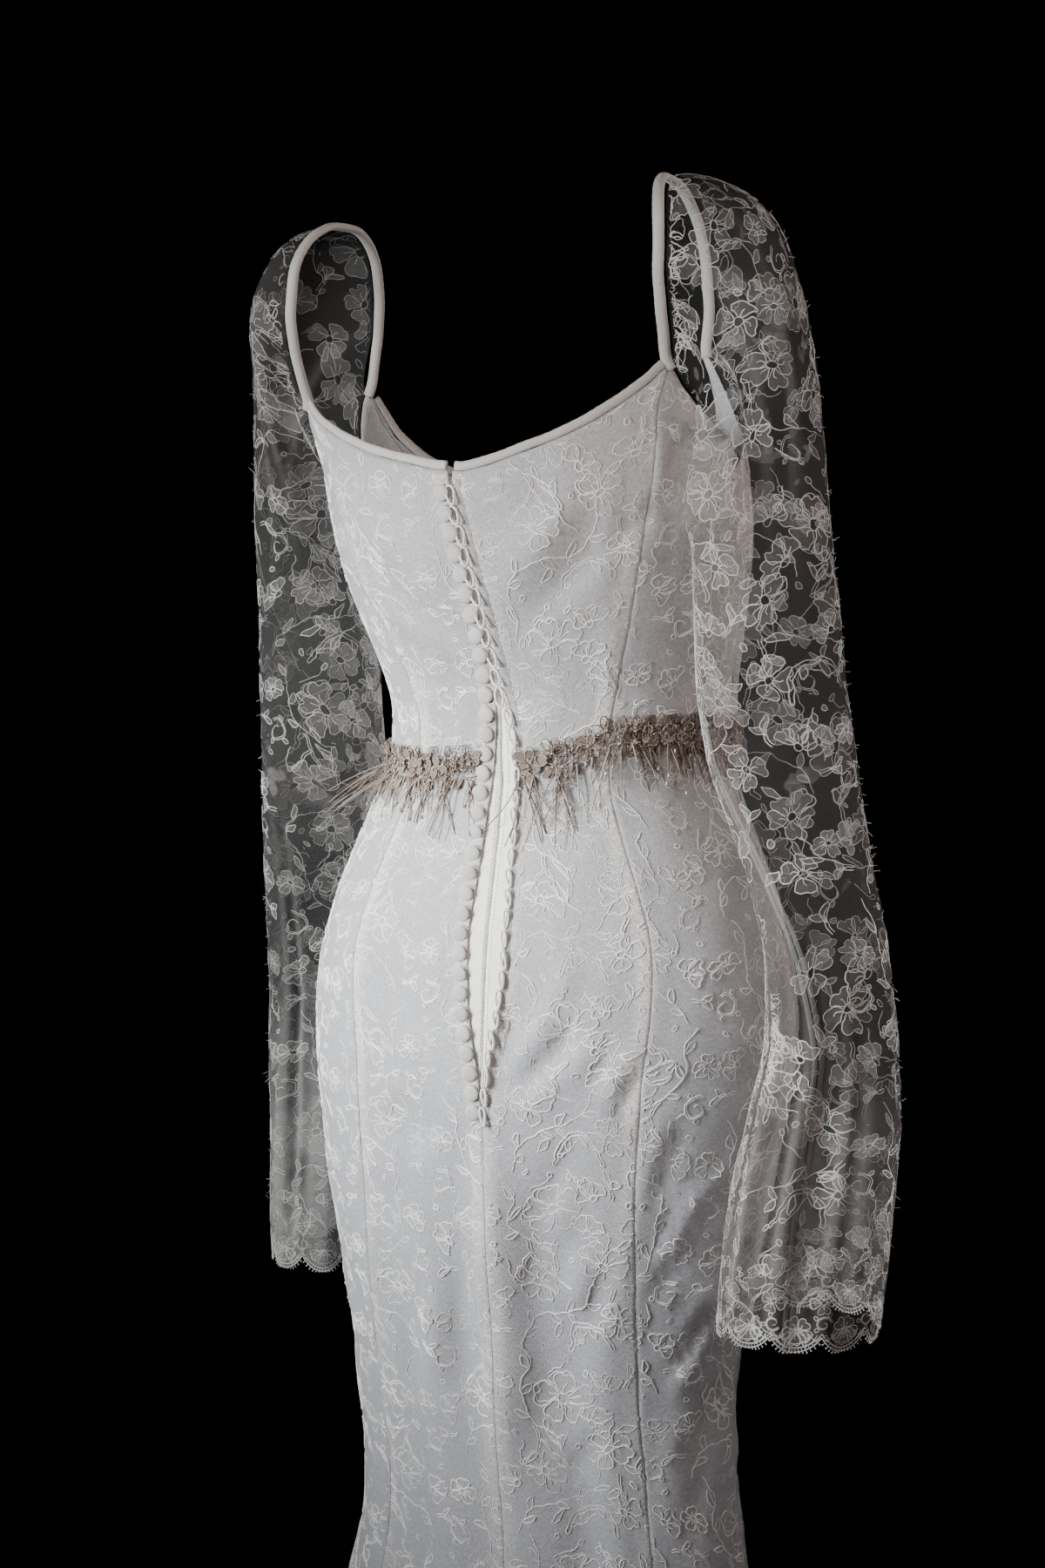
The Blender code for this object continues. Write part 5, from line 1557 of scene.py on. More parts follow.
def cloth_material(name, colour, shade, net, rough, sheen, bump_scale=1.0, band=None):
    """Woven cloth under a fine net, worn and a little uneven in colour."""
    m, nodes, links, bsdf = new_material(name)
    uv, x, y = flat_xy(nodes, links, 0.0012)
    threads = hex_lines(nodes, links, x, y, 0.0020, 0.20)
    big = noise(nodes, links, uv, 9.0, 3.0)
    mid = noise(nodes, links, uv, 70.0, 4.0)
    fine = noise(nodes, links, uv, 900.0, 2.0)
    base = mix_colour(nodes, links, ramp(nodes, links, big, 0.35, 0.68), shade, colour)
    base = mix_colour(nodes, links, ramp(nodes, links, mid, 0.28, 0.74, 0.0, 0.46), base,
                      tuple(c * 0.86 for c in colour))
    if band:
        # painted shade: the satin turns darker and bluer down the skirt, standing in for cool light
        painted_cool_shade = nodes.new("ShaderNodeAttribute")
        painted_cool_shade.attribute_name = "painted_cool_shade"
        base = mix_colour(nodes, links, painted_cool_shade.outputs["Fac"], base, tuple(
            c * k for c, k in zip(colour, (0.835, 0.865, 1.01))))
        warm = nodes.new("ShaderNodeAttribute")
        warm.attribute_name = "warm"
        base = mix_colour(nodes, links, warm.outputs["Fac"], base, band)
    base = mix_colour(nodes, links, math_node(nodes, links, "MULTIPLY", threads, net), base,
                      tuple(min(1.0, c * 1.25) for c in colour))
    grain = noise(nodes, links, uv, 360.0, 2.0, 0.7)
    base = mix_colour(nodes, links, ramp(nodes, links, grain, 0.34, 0.64, 0.0, 0.58 if band else 0.80 * net),
                      base, tuple(c * 0.60 for c in colour))
    base = mix_colour(nodes, links, ramp(nodes, links, fine, 0.30, 0.72, 0.0, 0.26), base,
                      tuple(c * 0.70 for c in colour))
    links.new(base, bsdf.inputs["Base Color"])
    bsdf.inputs["Roughness"].default_value = rough
    bsdf.inputs["Sheen Weight"].default_value = sheen
    bsdf.inputs["Sheen Roughness"].default_value = 0.45
    bsdf.inputs["Sheen Tint"].default_value = (0.95, 0.94, 0.96, 1.0)
    height = math_node(nodes, links, "MULTIPLY_ADD", fine, 0.5, threads)
    height = math_node(nodes, links, "MULTIPLY_ADD", mid, 1.6, height)
    bump = nodes.new("ShaderNodeBump")
    bump.inputs["Strength"].default_value = 0.55 * bump_scale
    bump.inputs["Distance"].default_value = 0.00030
    links.new(height, bump.inputs["Height"])
    links.new(bump.outputs[0], bsdf.inputs["Normal"])
    return m


def thread_material(name, colour, dark, rough, scale=700.0, sheen=0.0):
    """Spun thread: streaked and a little uneven."""
    m, nodes, links, bsdf = new_material(name)
    geo = nodes.new("ShaderNodeTexCoord")
    n1 = noise(nodes, links, geo.outputs["Object"], scale, 3.0)
    n2 = noise(nodes, links, geo.outputs["Object"], 26.0, 2.0)
    base = mix_colour(nodes, links, ramp(nodes, links, n1, 0.32, 0.70), dark, colour)
    base = mix_colour(nodes, links, ramp(nodes, links, n2, 0.30, 0.72, 0.0, 0.40), base,
                      tuple(c * 0.80 for c in colour))
    links.new(base, bsdf.inputs["Base Color"])
    bsdf.inputs["Roughness"].default_value = rough
    bsdf.inputs["Sheen Weight"].default_value = sheen
    bump = nodes.new("ShaderNodeBump")
    bump.inputs["Strength"].default_value = 0.5
    bump.inputs["Distance"].default_value = 0.00015
    links.new(n1, bump.inputs["Height"])
    links.new(bump.outputs[0], bsdf.inputs["Normal"])
    return m


def lace_net_material(name, colour, cell, width, base_alpha, thread_alpha, border):
    """Open net: hexagonal threads with clear holes."""
    m, nodes, links, bsdf = new_material(name)
    uv, x, y = flat_xy(nodes, links, 0.0010)
    threads = hex_lines(nodes, links, x, y, cell, width)
    patch = noise(nodes, links, uv, 45.0, 3.0)
    alpha = math_node(nodes, links, "MULTIPLY", threads,
                      ramp(nodes, links, patch, 0.25, 0.75, thread_alpha * 0.7, thread_alpha))
    alpha = math_node(nodes, links, "ADD", alpha, base_alpha)
    # the lace is closer towards its border
    close = ramp(nodes, links, y, 0.02, 0.26, border, 0.0)
    alpha = math_node(nodes, links, "MULTIPLY_ADD", close,
                      ramp(nodes, links, patch, 0.30, 0.62, 0.35, 1.4), alpha)
    fold = nodes.new("ShaderNodeAttribute")
    fold.attribute_name = "fold"
    alpha = math_node(nodes, links, "MULTIPLY_ADD", fold.outputs["Fac"], 0.20, alpha, clamp=True)
    links.new(alpha, bsdf.inputs["Alpha"])
    base = mix_colour(nodes, links, ramp(nodes, links, patch, 0.3, 0.7), colour,
                      tuple(c * 0.86 for c in colour))
    links.new(base, bsdf.inputs["Base Color"])
    bsdf.inputs["Roughness"].default_value = 0.8
    return m


def lace_fill_material(name, colour, alpha, rough=0.8):
    """The close half-stitch that fills petals and leaves of the lace."""
    m, nodes, links, bsdf = new_material(name)
    uv, x, y = flat_xy(nodes, links, 0.0006)
    u = math_node(nodes, links, "ADD", x, y)
    v = math_node(nodes, links, "SUBTRACT", x, y)
    waves = None
    for w in (u, v):
        s = math_node(nodes, links, "MULTIPLY", w, 2 * math.pi / 0.0011)
        s = math_node(nodes, links, "SINE", s)
        s = ramp(nodes, links, s, 0.15, 0.85)
        waves = s if waves is None else math_node(nodes, links, "MAXIMUM", waves, s)
    n = noise(nodes, links, uv, 240.0, 3.0)
    a = ramp(nodes, links, n, 0.25, 0.75, alpha * 0.55, alpha * 1.25)
    a = math_node(nodes, links, "MULTIPLY", a, math_node(nodes, links, "MULTIPLY_ADD", waves, 0.65, 0.35))
    links.new(math_node(nodes, links, "MINIMUM", a, 1.0), bsdf.inputs["Alpha"])
    base = mix_colour(nodes, links, ramp(nodes, links, n, 0.3, 0.7), colour,
                      tuple(c * 0.82 for c in colour))
    links.new(base, bsdf.inputs["Base Color"])
    bsdf.inputs["Roughness"].default_value = rough
    return m


SATIN_M = cloth_material("satin_under_net", SATIN_COLOUR, SATIN_SHADE, 0.45, 0.62, 0.15, 1.0, BAND_COLOUR)
BIAS_M = cloth_material("bias_satin", BIAS_COLOUR, BIAS_SHADE, 0.10, 0.55, 0.15, 1.2)
PLACKET_M = cloth_material("placket_satin", PLACKET_COLOUR, PLACKET_SHADE, 0.08, 0.50, 0.15)
BUTTON_M = thread_material("covered_button_satin", BUTTON_COLOUR, tuple(c * 0.86 for c in BUTTON_COLOUR),
                           0.6, 1100.0, 0.1)
CORD_M = thread_material("lace_cord", CORD_COLOUR, tuple(c * 0.72 for c in CORD_COLOUR), 0.75, 900.0)
BODY_CORD_M = thread_material("lace_cord_on_satin", BODY_CORD_COLOUR,
                              tuple(c * 0.80 for c in BODY_CORD_COLOUR), 0.7, 900.0)
BODY_FILL_M = lace_fill_material("lace_petals_on_satin", BODY_FILL_COLOUR, 0.20)
SLEEVE_FILL_M = lace_fill_material("lace_petals", CORD_COLOUR, FILL_ALPHA)
# the left sleeve's net is painted a little paler than the right's, as light where the key grazes it; its threads
# are also closer
NET_M = {"sleeve_R": lace_net_material("lace_net_right", NET_COLOUR, 0.00175, 0.115, NET_HAZE, NET_THREAD, 0.030),
         "sleeve_L": lace_net_material("lace_net_left_painted_paler", (0.58, 0.57, 0.56), 0.00175, 0.125, 0.006, 0.14, 0.16)}
LOOP_M = thread_material("loop_cord", LOOP_COLOUR, tuple(c * 0.8 for c in LOOP_COLOUR), 0.6, 800.0)
STITCH_M = thread_material("stitching", STITCH_COLOUR, tuple(c * 0.8 for c in STITCH_COLOUR), 0.7)
TAUPE_M = thread_material("taupe_thread", (0.205, 0.142, 0.106), (0.092, 0.061, 0.043), 0.65)
PALE_TAUPE_M = thread_material("pale_taupe_thread", (0.415, 0.350, 0.300), (0.235, 0.190, 0.155), 0.6)
BEAD_M = thread_material("glass_bead", (0.66, 0.63, 0.59), (0.36, 0.32, 0.28), 0.22, 1500.0)

# ------------------------------------------------------------ the body panels
PIECES = {}
CELL = make_cell()


def seam_warmth(angle, z):
    """Where the turned seam allowances show through as a light warm band."""
    total = np.zeros(np.shape(angle))
    for k, d in enumerate(seam_distance(angle, z)):
        wide = 0.0110 + 0.0015 * np.sin(z * 31 + k)
        band = step(-wide - 0.003, -wide + 0.001, d) * (1 - step(-0.0012, 0.0004, d))
        strength = (0.35 + 0.65 * step(0.14, 0.0, z)) * (1 - 0.75 * step(-0.16, -0.42, z))
        total = np.maximum(total, band * strength * (1.0 if k == 0 else 0.6))
    d = (around(angle) - centre_seam(z)) * half(z)
    band = step(-0.012, -0.009, d) * (1 - step(0.008, 0.011, d))
    total = np.maximum(total, 0.40 * band * (1 - step(CLOSURE_END - 0.004, CLOSURE_END, z)))
    # the turned edges of the back opening
    for edge, sign in ((open_left, -1), (open_right, 1)):
        d = sign * (around(angle) - edge(z)) * half(z)
        band = (1 - step(0.008, 0.012, np.abs(d))) * step(CLOSURE_END, CLOSURE_END + 0.01, z)
        total = np.maximum(total, 0.55 * band)
    return np.clip(total, 0, 1)


def boldness(flat, seed):
    """Some motifs are worked boldly and some faintly."""
    u, v = flat[:, 0], flat[:, 1]
    wave = np.sin(u * 61 + 17 * v + seed) * np.sin(v * 47 - 13 * u + 2 * seed)
    return 0.86 + 0.34 * np.clip(1.3 * wave, -1, 1)


BACK = ("centre_back_L", "centre_back_R", "side_back_L", "side_back_R")


def panel_pieces(panel):
    angle, z = panel.grid()
    rows, cols = angle.shape
    points = skin(angle, z)
    u, v = panel.flat(angle, z)
    uv = np.stack([u, -v], -1).reshape(-1, 2)
    quads = grid_quads(rows, cols)
    cloth_obj = mesh_object(panel.name + "_cloth", points.reshape(-1, 3), [quads], SATIN_M, uv=uv)
    warm = cloth_obj.data.attributes.new("warm", "FLOAT", "POINT")
    warm.data.foreach_set("value", seam_warmth(angle, z).reshape(-1).astype(np.float32))
    # painted shade: from just below the waist down, the satin is painted darker and bluer as cool light
    painted_cool_shade = cloth_obj.data.attributes.new("painted_cool_shade", "FLOAT", "POINT")
    painted_cool_shade.data.foreach_set("value", (0.75 * step(-0.02, -0.30, z)).reshape(-1).astype(np.float32))
    # the outer face looks outwards
    a, b = points[rows // 2, cols // 2], points[rows // 2 + 1, cols // 2]
    c = points[rows // 2, cols // 2 + 1]
    n = np.cross(c - a, b - a)
    out = place(cloth(angle[rows // 2, cols // 2], z[rows // 2, cols // 2], 0.01)) - place(
        cloth(angle[rows // 2, cols // 2], z[rows // 2, cols // 2]))
    if n @ out < 0:
        cloth_obj.data.flip_normals()
    wall = cloth_obj.modifiers.new("wall", "SOLIDIFY")
    wall.thickness = 0.0009
    wall.offset = -1.0
    wall.use_even_offset = False
    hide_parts(panel.name)
    PIECES[panel.name] = cloth_obj

    back = panel.name in BACK
    index = [p.name for p in PANELS].index(panel.name)
    shift = PANEL_SHIFT[panel.name]
    cords, fills, _, _ = lay_out(CELL, u.min(), u.max(), -v.max(), -v.min(), shift,
                           2.9 if back else 5.0, 4.0 if back else 6.5, 0.10, 1.14)
    flat, line = packed(cords)
    a, zz = panel.unflat(flat[:, 0], -flat[:, 1])
    ok = panel.inside(a, zz)
    keep = ok.copy()
    keep[1:] |= ok[:-1]
    keep[:-1] |= ok[1:]
    flat, line, a, zz, ok = flat[keep], line[keep], a[keep], zz[keep], ok[keep]
    p = skin(a, zz, 0.00012)
    n = skin_normal(a, zz, p)
    # heavier and finer cords, as worked by hand
    weight = 0.00046 + 0.00010 * np.sin(line * 2.7) + 0.00005 * np.sin(flat[:, 0] * 500)
    weight = weight * boldness(flat, float(index))
    pts, faces = cords_mesh(p, n, line, ok, weight, 2 if back else 1, 1.15)
    pts, (faces,), _ = keep_used(pts, [faces])
    cord_obj = mesh_object(panel.name + "_lace_cords", pts, [faces], BODY_CORD_M)

    def on_panel(f):
        a, zz = panel.unflat(f[:, 0], -f[:, 1])
        ok = panel.inside(a, zz)
        p = skin(a, zz, 0.00020)
        return p, skin(a, zz, 0.0012) - p, ok
    made = fills_mesh(fills, on_panel)
    pts, faces, fuv = made
    fill_obj = mesh_object(panel.name + "_lace_petals", pts, faces, BODY_FILL_M, uv=fuv)
    return cloth_obj, cord_obj, fill_obj


PANEL_SHIFT = {
    "centre_back_L": (0.012, 0.030), "centre_back_R": (-0.055, -0.012),
    "side_back_L": (0.030, 0.055), "side_back_R": (-0.020, 0.018),
    "side_front_L": (0.0, 0.0), "side_front_R": (0.04, 0.05), "centre_front": (-0.049, 0.02),
}
for panel in PANELS:
    made = panel_pieces(panel)


# ----------------------------------------------------------------- the sleeves
def sleeve_pieces(sleeve):
    rows, cols = sleeve.grid.shape[:2]
    # the shell ends on the scalloped edge: rows are spread between it and the armhole
    share = np.concatenate([np.linspace(0, 0.955, 118), np.linspace(0.962, 1.0, 12)])
    top = sleeve.v[0]
    u_low = sleeve.u[-1]
    low = sleeve.hem(u_low)
    points, uvs, folds = [], [], []
    for s in share:
        v = top + (low - top) * s
        points.append(np.stack([np.interp(v, sleeve.v[::-1, j], sleeve.grid[::-1, j, k])
                                for j, v in enumerate(v) for k in range(3)]).reshape(cols, 3))
        r = np.array([np.interp(v[j], sleeve.v[::-1, j], np.arange(rows)[::-1]) for j in range(cols)])
        u = bilinear(sleeve.u, r, np.arange(cols, dtype=float))
        uvs.append(np.stack([u, v], -1))
        folds.append(bilinear(sleeve.fold, r, np.arange(cols, dtype=float)))
    points, uvs = np.array(points), np.array(uvs)
    net = mesh_object(sleeve.name + "_net", points.reshape(-1, 3),
                      [grid_quads(len(share), cols)], NET_M[sleeve.name], uv=uvs.reshape(-1, 2))
    if sleeve.side > 0:
        net.data.flip_normals()
    fold = net.data.attributes.new("fold", "FLOAT", "POINT")
    fold.data.foreach_set("value", np.clip(np.array(folds), 0, 1).reshape(-1).astype(np.float32))
    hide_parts(sleeve.name)

    u0, u1 = sleeve.u_min.min(), sleeve.u_max.max()
    v1 = sleeve.v.max()
    cords, fills, cord_middles, fill_middles = lay_out(
        CELL, u0, u1, 0.060, v1, SLEEVE_SHIFT[sleeve.name], 2.2, 3.2, 0.12, 1.22)
    cords, fills = sleeve.square(cords, cord_middles), sleeve.square(fills, fill_middles)
    more, more_fills = hem_lace(u0, u1, sleeve)
    cords += more
    fills += more_fills
    flat, line = packed(cords)
    p, n, ok = sleeve.point(flat[:, 0], flat[:, 1], np.full(len(flat), 0.00020))
    weight = 0.00032 + 0.00008 * np.sin(line * 2.1) + 0.00003 * np.sin(flat[:, 0] * 600)
    # finer cords on the side away from the closure
    weight = weight * (0.52 + 0.48 * step(-0.022, 0.012, flat[:, 0]))
    weight = weight * boldness(flat, 3.0) * (0.76 if sleeve.side > 0 else 1.0)
    pts, faces = cords_mesh(p, n, line, ok, weight, 2)
    pts, (faces,), _ = keep_used(pts, [faces])
    cord_obj = mesh_object(sleeve.name + "_lace_cords", pts, [faces], CORD_M)
    made = fills_mesh(fills, lambda f: sleeve.point(f[:, 0], f[:, 1], np.full(len(f), 0.00008)))
    fill_obj = mesh_object(sleeve.name + "_lace_petals", made[0], made[1], SLEEVE_FILL_M, uv=made[2])

    # the double cord of the scalloped edge with its holes and picots
    edge = Bundle()
    u = np.arange(u0, u1, 0.0009)
    for lift, r in ((0.0004, 0.00048), (0.0032, 0.00040)):
        hem = sleeve.hem(u)
        p, n, ok = sleeve.point(u, hem + lift, np.zeros(len(u)))
        girth = np.interp(-0.0, [-1, 1], [0, 0])
        ok = (u > sleeve.u[-1, 0]) & (u < sleeve.u[-1, -1])
        edge.add(*cords_mesh(p, n, np.zeros(len(u), int), ok, r, 3))
    fine = np.arange(sleeve.u[-1, 0] + 0.001, sleeve.u[-1, -1] - 0.001, 0.0025)
    slope = (sleeve.hem(fine + 1e-4) - sleeve.hem(fine - 1e-4)) / 2e-4
    slope = np.clip(slope, -2.5, 2.5)
    length = np.hypot(1, slope)
    for bar, (s0, s1), r in (("bar", (0.0004, 0.0032), 0.00026), ("picot", (-0.0018, 0.0004), 0.00034)):
        a = np.stack([fine + slope / length * s0 * -1, sleeve.hem(fine) + s0 / length], 1)
        b = np.stack([fine + slope / length * s1 * -1, sleeve.hem(fine) + s1 / length], 1)
        both = np.stack([a, b], 1).reshape(-1, 2)
        p, n, ok = sleeve.point(both[:, 0], np.maximum(both[:, 1], -0.0018), np.zeros(len(both)))
        edge.add(*cords_mesh(p, n, np.repeat(np.arange(len(fine)), 2), np.ones(len(both), bool), r, 3))
    # round picots as small beads of thread
    bead_p, bead_t, bead_q = ball(0.00062, 5, 3)
    a = np.stack([fine + slope / length * 0.0020, sleeve.hem(fine) - 0.0020 / length], 1)
    p, n, ok = sleeve.point(a[:, 0], np.maximum(a[:, 1], -0.0022), np.zeros(len(a)))
    for q in p:
        edge.add(bead_p + q, [bead_t, bead_q])
    edge_obj = edge.build(sleeve.name + "_scalloped_edge", CORD_M)

    # the underarm seam: two narrow turned edges, and cut thread ends along it
    seam = Bundle()
    path_phi = SLEEVE_SEAM[sleeve.name]
    t = np.linspace(0.0, 1.0, 150)
    row = (0.0 + t * (rows - 1.02))
    zs = np.interp(row, np.arange(rows), sleeve.grid[:, :-1, 2].mean(1)) + HOLD_HEIGHT
    phi = np.interp(-zs, [-q[0] for q in path_phi], [q[1] for q in path_phi])
    phi = (phi + 180) % 360 - 180
    for j, (off, wide) in enumerate(((-0.0022, 0.0017), (0.0022, 0.0017))):
        lines = []
        for e in (-1, -0.3, 0.3, 1):
            girth = np.interp(row, np.arange(rows), sleeve.girth)
            c = (phi + 180) / 360 * sleeve.AROUND + (off + e * wide) / girth * sleeve.AROUND
            p = bilinear(sleeve.grid, row, c)
            n = bilinear(sleeve.normal, row, c)
            lines.append(p + n * (0.0005 + 0.0004 * (1 - abs(e))))
        seam.add(np.stack(lines, 1).reshape(-1, 3), grid_quads(len(t), 4))
    seam_obj = seam.build(sleeve.name + "_seam", SEAM_LACE_M)

    hairs = Bundle()
    local = np.random.RandomState(11 if sleeve.side > 0 else 12)
    for k in range(190):
        s = local.uniform(0.02, 0.97)
        around_phi = local.choice([0.0, 12.0, -10.0, 168.0, 90.0 + local.uniform(-80, 80)])
        c = ((around_phi + local.normal(0, 5) + 180) % 360) / 360 * sleeve.AROUND
        r = s * (rows - 2)
        p = bilinear(sleeve.grid, np.array([r]), np.array([c]))[0]
        n = bilinear(sleeve.normal, np.array([r]), np.array([c]))[0]
        d = n + local.normal(0, 0.55, 3)
        d /= np.linalg.norm(d)
        bend = local.normal(0, 0.35, 3)
        length = local.uniform(0.0014, 0.0042)
        path = [p + d * length * t + bend * length * t * t for t in (0.0, 0.5, 1.0)]
        hairs.add(*tube(path, 0.00016, 3))
    hair_obj = hairs.build(sleeve.name + "_thread_ends", CORD_M)
    return net, [cord_obj, fill_obj, edge_obj, seam_obj, hair_obj]


def hem_lace(u0, u1, sleeve):
    """The border of the lace: a fan in each scallop and flowers above it."""
    cords, fills = [], []
    wide = 36.2
    k0, k1 = int(math.floor(u0 * 1000 / wide)) - 1, int(math.ceil(u1 * 1000 / wide)) + 1
    for k in range(k0, k1 + 1):
        x0 = (k + 0.5) * wide - 11.0
        m = Motif()
        flip = k % 2 == 1
        m.join(flower(11.0, 5, start=15 + 9 * k, squash=0.95), 0, (0, 15.5))
        for a, long in ((-62, 13), (-34, 15), (34, 15), (62, 13)):
            m.add(leaf(long, 4.0, 0.2 if a > 0 else -0.2), True, 180 - a * 0.9, (0, 16 + 0.02 * abs(a)))
        for r in (15.5, 12.6):
            t = np.linspace(-1.25, 1.25, 16)
            m.add(np.stack([np.sin(t) * r, 19 - np.cos(t) * r], 1))
        m.join(scroll(6.4), 40 * k, (wide / 2, 22), 1.0, flip)
        m.join(y_twig(7.0, (38, -34), 8.0, 1.7), 0, (1.0, 28), 0.95, flip)
        m.join(flower(9.5, 4, start=30 + 25 * k), 0, (wide / 2 + 2, 38))
        m.join(flower(9.0, 3, 180, -80), 0, (-1, 54))
        m.join(tendril(9, 5, 3.6), -50, (wide / 2 - 3, 10))
        m.join(tendril(9, -5, 3.6), 50, (wide / 2 + 3, 10))
        m.join(sprig(9.0, 2), 15 if flip else -20, (wide / 2 - 6, 48), 0.9)
        for line in m.cords:
            p = resample(line, 2.2) / 1000 + np.array([x0 / 1000, 0.0])
            if p[:, 0].max() > u0 and p[:, 0].min() < u1:
                cords.append(p)
        for line in m.fills:
            p = resample(np.concatenate([line, line[:1]]), 2.6)[:-1] / 1000 + np.array([x0 / 1000, 0.0])
            if p[:, 0].max() > u0 and p[:, 0].min() < u1:
                fills.append(p)
    return cords, fills


SEAM_LACE_M = lace_fill_material("lace_seam", CORD_COLOUR, 0.55)
SLEEVE_SHIFT = {"sleeve_L": (0.020, 0.050), "sleeve_R": (-0.030, 0.012)}
for name, side, table in (("sleeve_L", 1, SLEEVE_LEFT), ("sleeve_R", -1, SLEEVE_RIGHT)):
    net, with_it = sleeve_pieces(Sleeve(name, side, table))



# ---------------------------------------------------------------- the bindings
def spread_path(path, count):
    path = np.asarray(path, float)
    run = np.concatenate([[0], np.cumsum(np.linalg.norm(np.diff(path, axis=0), axis=1))])
    at = np.linspace(0, run[-1], count)
    return np.stack([np.interp(at, run, path[:, k]) for k in range(3)], 1), at


def soft_line(path, times=3):
    path = np.array(path, float)
    for _ in range(times):
        path[1:-1] = 0.25 * path[:-2] + 0.5 * path[1:-1] + 0.25 * path[2:]
    return path


def bias_roll(name, node, path, sides, wide, deep, ring, lump, mat, seed):
    """A turned bias strip: an oval roll with the drag lines of its stitching."""
    path = np.asarray(path, float)
    wide, deep = 0.98 * wide, 0.86 * deep
    run = np.concatenate([[0], np.cumsum(np.linalg.norm(np.diff(path, axis=0), axis=1))])
    sides = np.broadcast_to(np.asarray(sides, float), path.shape)
    along = np.gradient(path, axis=0)
    along /= np.linalg.norm(along, axis=1)[:, None]
    across = sides - (sides * along).sum(1)[:, None] * along
    across /= np.linalg.norm(across, axis=1)[:, None]
    outward = np.cross(along, across)
    rings, uvs = [], []
    for k in range(ring + 1):
        turn = 2 * math.pi * k / ring
        drag = 1 + lump * (0.6 * np.sin(run * 900 + 3.0 * math.sin(turn) + seed)
                           + 0.8 * np.sin(run * 210 + 1.3 * seed + math.cos(turn) * 2)
                           + 0.5 * np.sin(run * 67 + seed))
        rings.append(path + (across * wide * math.cos(turn) + outward * deep * math.sin(turn))
                     * drag[:, None])
        uvs.append(np.stack([np.full(len(run), (wide + deep) * turn), run], 1))
    points = np.stack(rings, 1).reshape(-1, 3)
    uv = np.stack(uvs, 1).reshape(-1, 2)
    rows, cols = len(path), ring + 1
    quads = grid_quads(rows, cols)
    # closed ends
    ends = [[0 * cols + k for k in range(ring)], [(rows - 1) * cols + k for k in range(ring)]]
    tris = []
    for loop in ends:
        for k in range(1, ring - 1):
            tris.append((loop[0], loop[k], loop[k + 1]))
    obj = mesh_object(name, points, [quads, np.array(tris)], mat, uv=uv)
    tidy(obj)
    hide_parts(node)
    return obj


def tidy(obj):
    """Outward faces."""
    mesh = bmesh.new()
    mesh.from_mesh(obj.data)
    bmesh.ops.remove_doubles(mesh, verts=mesh.verts, dist=1e-6)
    bmesh.ops.recalc_face_normals(mesh, faces=mesh.faces)
    mesh.to_mesh(obj.data)
    mesh.free()


def roll_edge(path, sides, lift, each, name, slot="bias_binding"):
    """Small sewing stitches along a binding."""
    b = Bundle()
    path, at = spread_path(path, int(np.linalg.norm(np.diff(path, axis=0), axis=1).sum() / each))
    for k in range(0, len(path) - 1):
        a, c = path[k], path[k] + (path[k + 1] - path[k]) * 0.55
        b.add(*tube([a, (a + c) / 2 + lift * 0.00022, c], 0.00024, 3))
    obj = b.build(name, STITCH_M)
    return obj


def panel_named(name):
    return next(p for p in PANELS if p.name == name)


for tag, side in (("L", 1), ("R", -1)):
    path = place(tilt(strap_point(np.linspace(112.0, -112.0, 110), side)))
    # the strap runs on down to the corner where the neck and armhole edges meet
    foot = place(cloth(-side * BACK_CORNER, float(top_edge(BACK_CORNER)) - 0.002, 0.0004))
    front_foot = place(cloth(-side * FRONT_CORNER, float(top_edge(FRONT_CORNER)) - 0.002, 0.0004))
    path = np.concatenate([[foot, foot * 0.5 + path[0] * 0.5], path,
                           [front_foot * 0.5 + path[-1] * 0.5, front_foot]])
    path, _ = spread_path(soft_line(path, 2), 130)
    bias_roll("strap_binding_%s_roll" % tag, "strap_binding_" + tag, path, [side, 0.0, 0.0],
              BINDING * 1.02, 0.0033, 14, 0.035, BIAS_M, 1.0 + side)


def neck_path(names, cut0, cut1, count):
    path = []
    for name in names:
        panel = panel_named(name)
        angle, z = panel.grid()
        path.append(place(cloth(angle[0], z[0], -0.0004)))
    path = np.concatenate(path)
    path, at = spread_path(path, count)
    total = at[-1]
    keep = (at > cut0) & (at < total - cut1)
    path = soft_line(path[keep], 3)
    along = np.gradient(path, axis=0)
    along /= np.linalg.norm(along, axis=1)[:, None]
    up = np.array([0.0, 0.0, 1.0]) - along * along[:, 2:]
    up /= np.linalg.norm(up, axis=1)[:, None]
    return path + up * (NECK_BINDING + 0.0002), up


for name, node, c0, c1 in (("back_neck_binding_R_roll", "back_neck_binding_R", 0.0, 0.001),
                           ("back_neck_binding_L_roll", "back_neck_binding_L", 0.001, 0.0),
                           ("front_neck_binding_roll", "front_neck_binding", 0.001, 0.001)):
    panel = {"back_neck_binding_R": "centre_back_R", "back_neck_binding_L": "centre_back_L",
             "front_neck_binding": "centre_front"}[node]
    path, up = neck_path([panel], c0, c1, 110)
    bias_roll(name, node, path, up, NECK_BINDING, BINDING_DEPTH, 12, 0.045, BIAS_M,
              {"R": 0.4, "L": 2.2, "g": 3.1}[node[-1]])


